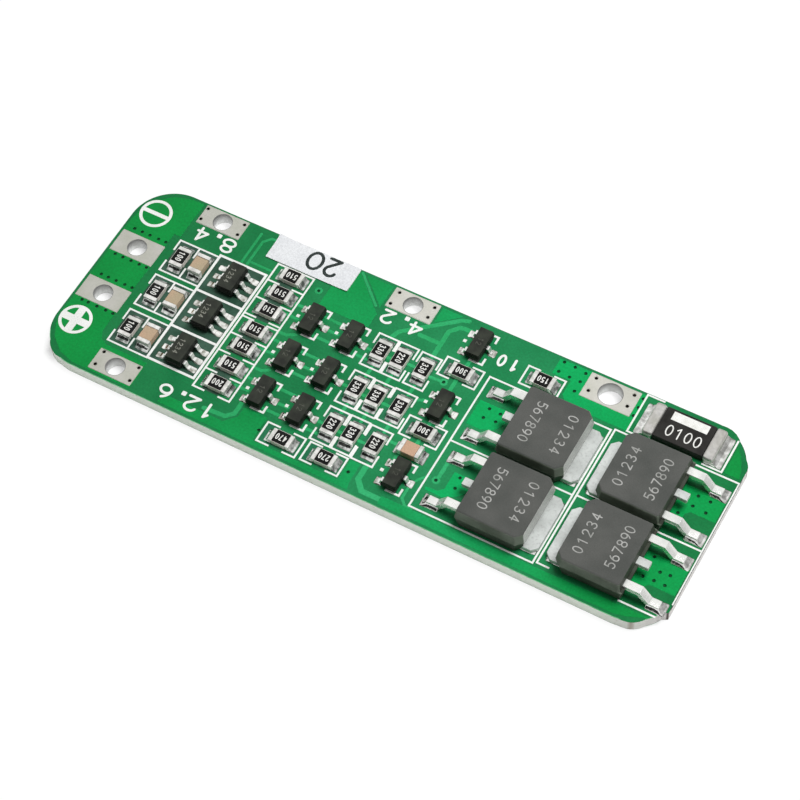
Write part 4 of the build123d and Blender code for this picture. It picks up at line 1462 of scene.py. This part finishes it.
def world():
    """White where it is seen or mirrored, and a plain soft light otherwise."""
    made = bpy.data.worlds.new("studio")
    bpy.context.scene.world = made
    made.use_nodes = True
    tree = made.node_tree
    strength = spread(tree, seen_directly(tree), 0.0, 1.0, WORLD_LEVEL, 1.0)
    connect(tree, tree.nodes["Background"], {"Color": (1.0, 1.0, 1.0, 1.0), "Strength": strength})


def lamp(name, place, size, power):
    """A square soft lamp that faces the board. Metal mirrors the white room in its place."""
    data = bpy.data.lights.new(name, "AREA")
    data.size = size * MM
    data.energy = power
    made = placed(name, data)
    aim(made, Vector(place), Vector(place))
    made.visible_glossy = False


def card(name, corners, level):
    """A plain card beside the board that only metal mirrors."""
    made, tree = staged_sheet(name, corners)
    connect(tree, tree.nodes["Material Output"], {0: add_node(tree, "Emission", {"Strength": level})})
    made.visible_camera = False
    made.visible_diffuse = False
    made.visible_shadow = False


def studio():
    camera()
    floor()
    world()
    for name, corners, level in CARDS:
        card(name, corners, level)
    for name, place, size, power in LAMPS:
        lamp(name, place, size, power)
    bpy.context.scene.view_settings.view_transform = "Standard"


def dress_board():
    board()
    holes = holes_in_board()
    raised = (BOARD_TOP, BOARD_TOP + COPPER_RISE, COPPER_SLOPE)
    flat_piece("edge_pours", "mask_on_copper", EDGE_POURS, holes, *raised)
    flat_piece("inner_pours", "mask_on_inner_copper", INNER_POURS, holes, *raised)
    poured = [*holes, *EDGE_POURS, *INNER_POURS]
    flat_piece("copper_tracks", "mask_on_track", track_outlines(), poured, *raised)
    lowered = (BOARD_UNDER - COPPER_RISE, BOARD_UNDER, COPPER_SLOPE)
    flat_piece("underside_copper", "mask_on_copper", UNDER_POURS, holes, *lowered, raised_low=True)
    # Painted shade on the mask inside the printed frames
    film = (BOARD_TOP, BOARD_TOP + WINDOW_RISE, WINDOW_RISE)
    dark = [box_outline(*box) for box in SHADED_WINDOWS]
    dim = [box_outline(*box) for box in DIM_SHADED_WINDOWS]
    flat_piece("shaded_windows", "mask_in_window_shade", dark, via_holes(), *film)
    flat_piece("dim_shaded_windows", "mask_in_grid_shade", dim, via_holes(), *film)
    via_plugs()
    for name, sizes in TERMINALS.items():
        terminal(name, *sizes)
    board_print()
    board_figures()
    paper_label()


def dress_power():
    metals = ["shunt_end_caps"]
    for k in (1, 2, 3, 4):
        power_body(k)
        for part, finish in (("tab", "tinned_tab_painted_shade"), ("leads", "bright_lead")):
            bent_metal(f"mosfet_{k}_{part}", finish, POWER_METAL_ROUNDING)
            metals.append(f"mosfet_{k}_{part}")
    shunt()
    solder("power_solder", metals, POWER_CLIMB, share=0.5, finish="broad_solder")


def dress_packages():
    metals = []
    for kind, (count, text, back, finish) in SMALL_PACKAGES.items():
        for k in range(1, count + 1):
            small_body(f"{kind}_{k}_body")
            metals.append(f"{kind}_{k}_leads")
            bent_metal(metals[-1], "bright_lead", SMALL_METAL_ROUNDING)
        small_marks(kind, count, text, back, finish)
    solder("lead_solder", metals, LEAD_CLIMB, share=1.0, finish="lead_solder")


def dress_chips():
    for family in CHIP_NUMBERS:
        resistor_family(family)
    capacitors()
    caps = [f"{family}_end_caps" for family in (*CHIP_NUMBERS, "capacitor")]
    for node in caps:
        end_caps(node)
    solder("chip_solder", caps, CHIP_CLIMB, share=0.8, finish="chip_solder")


studio()
dress_board()
dress_power()
dress_packages()
dress_chips()
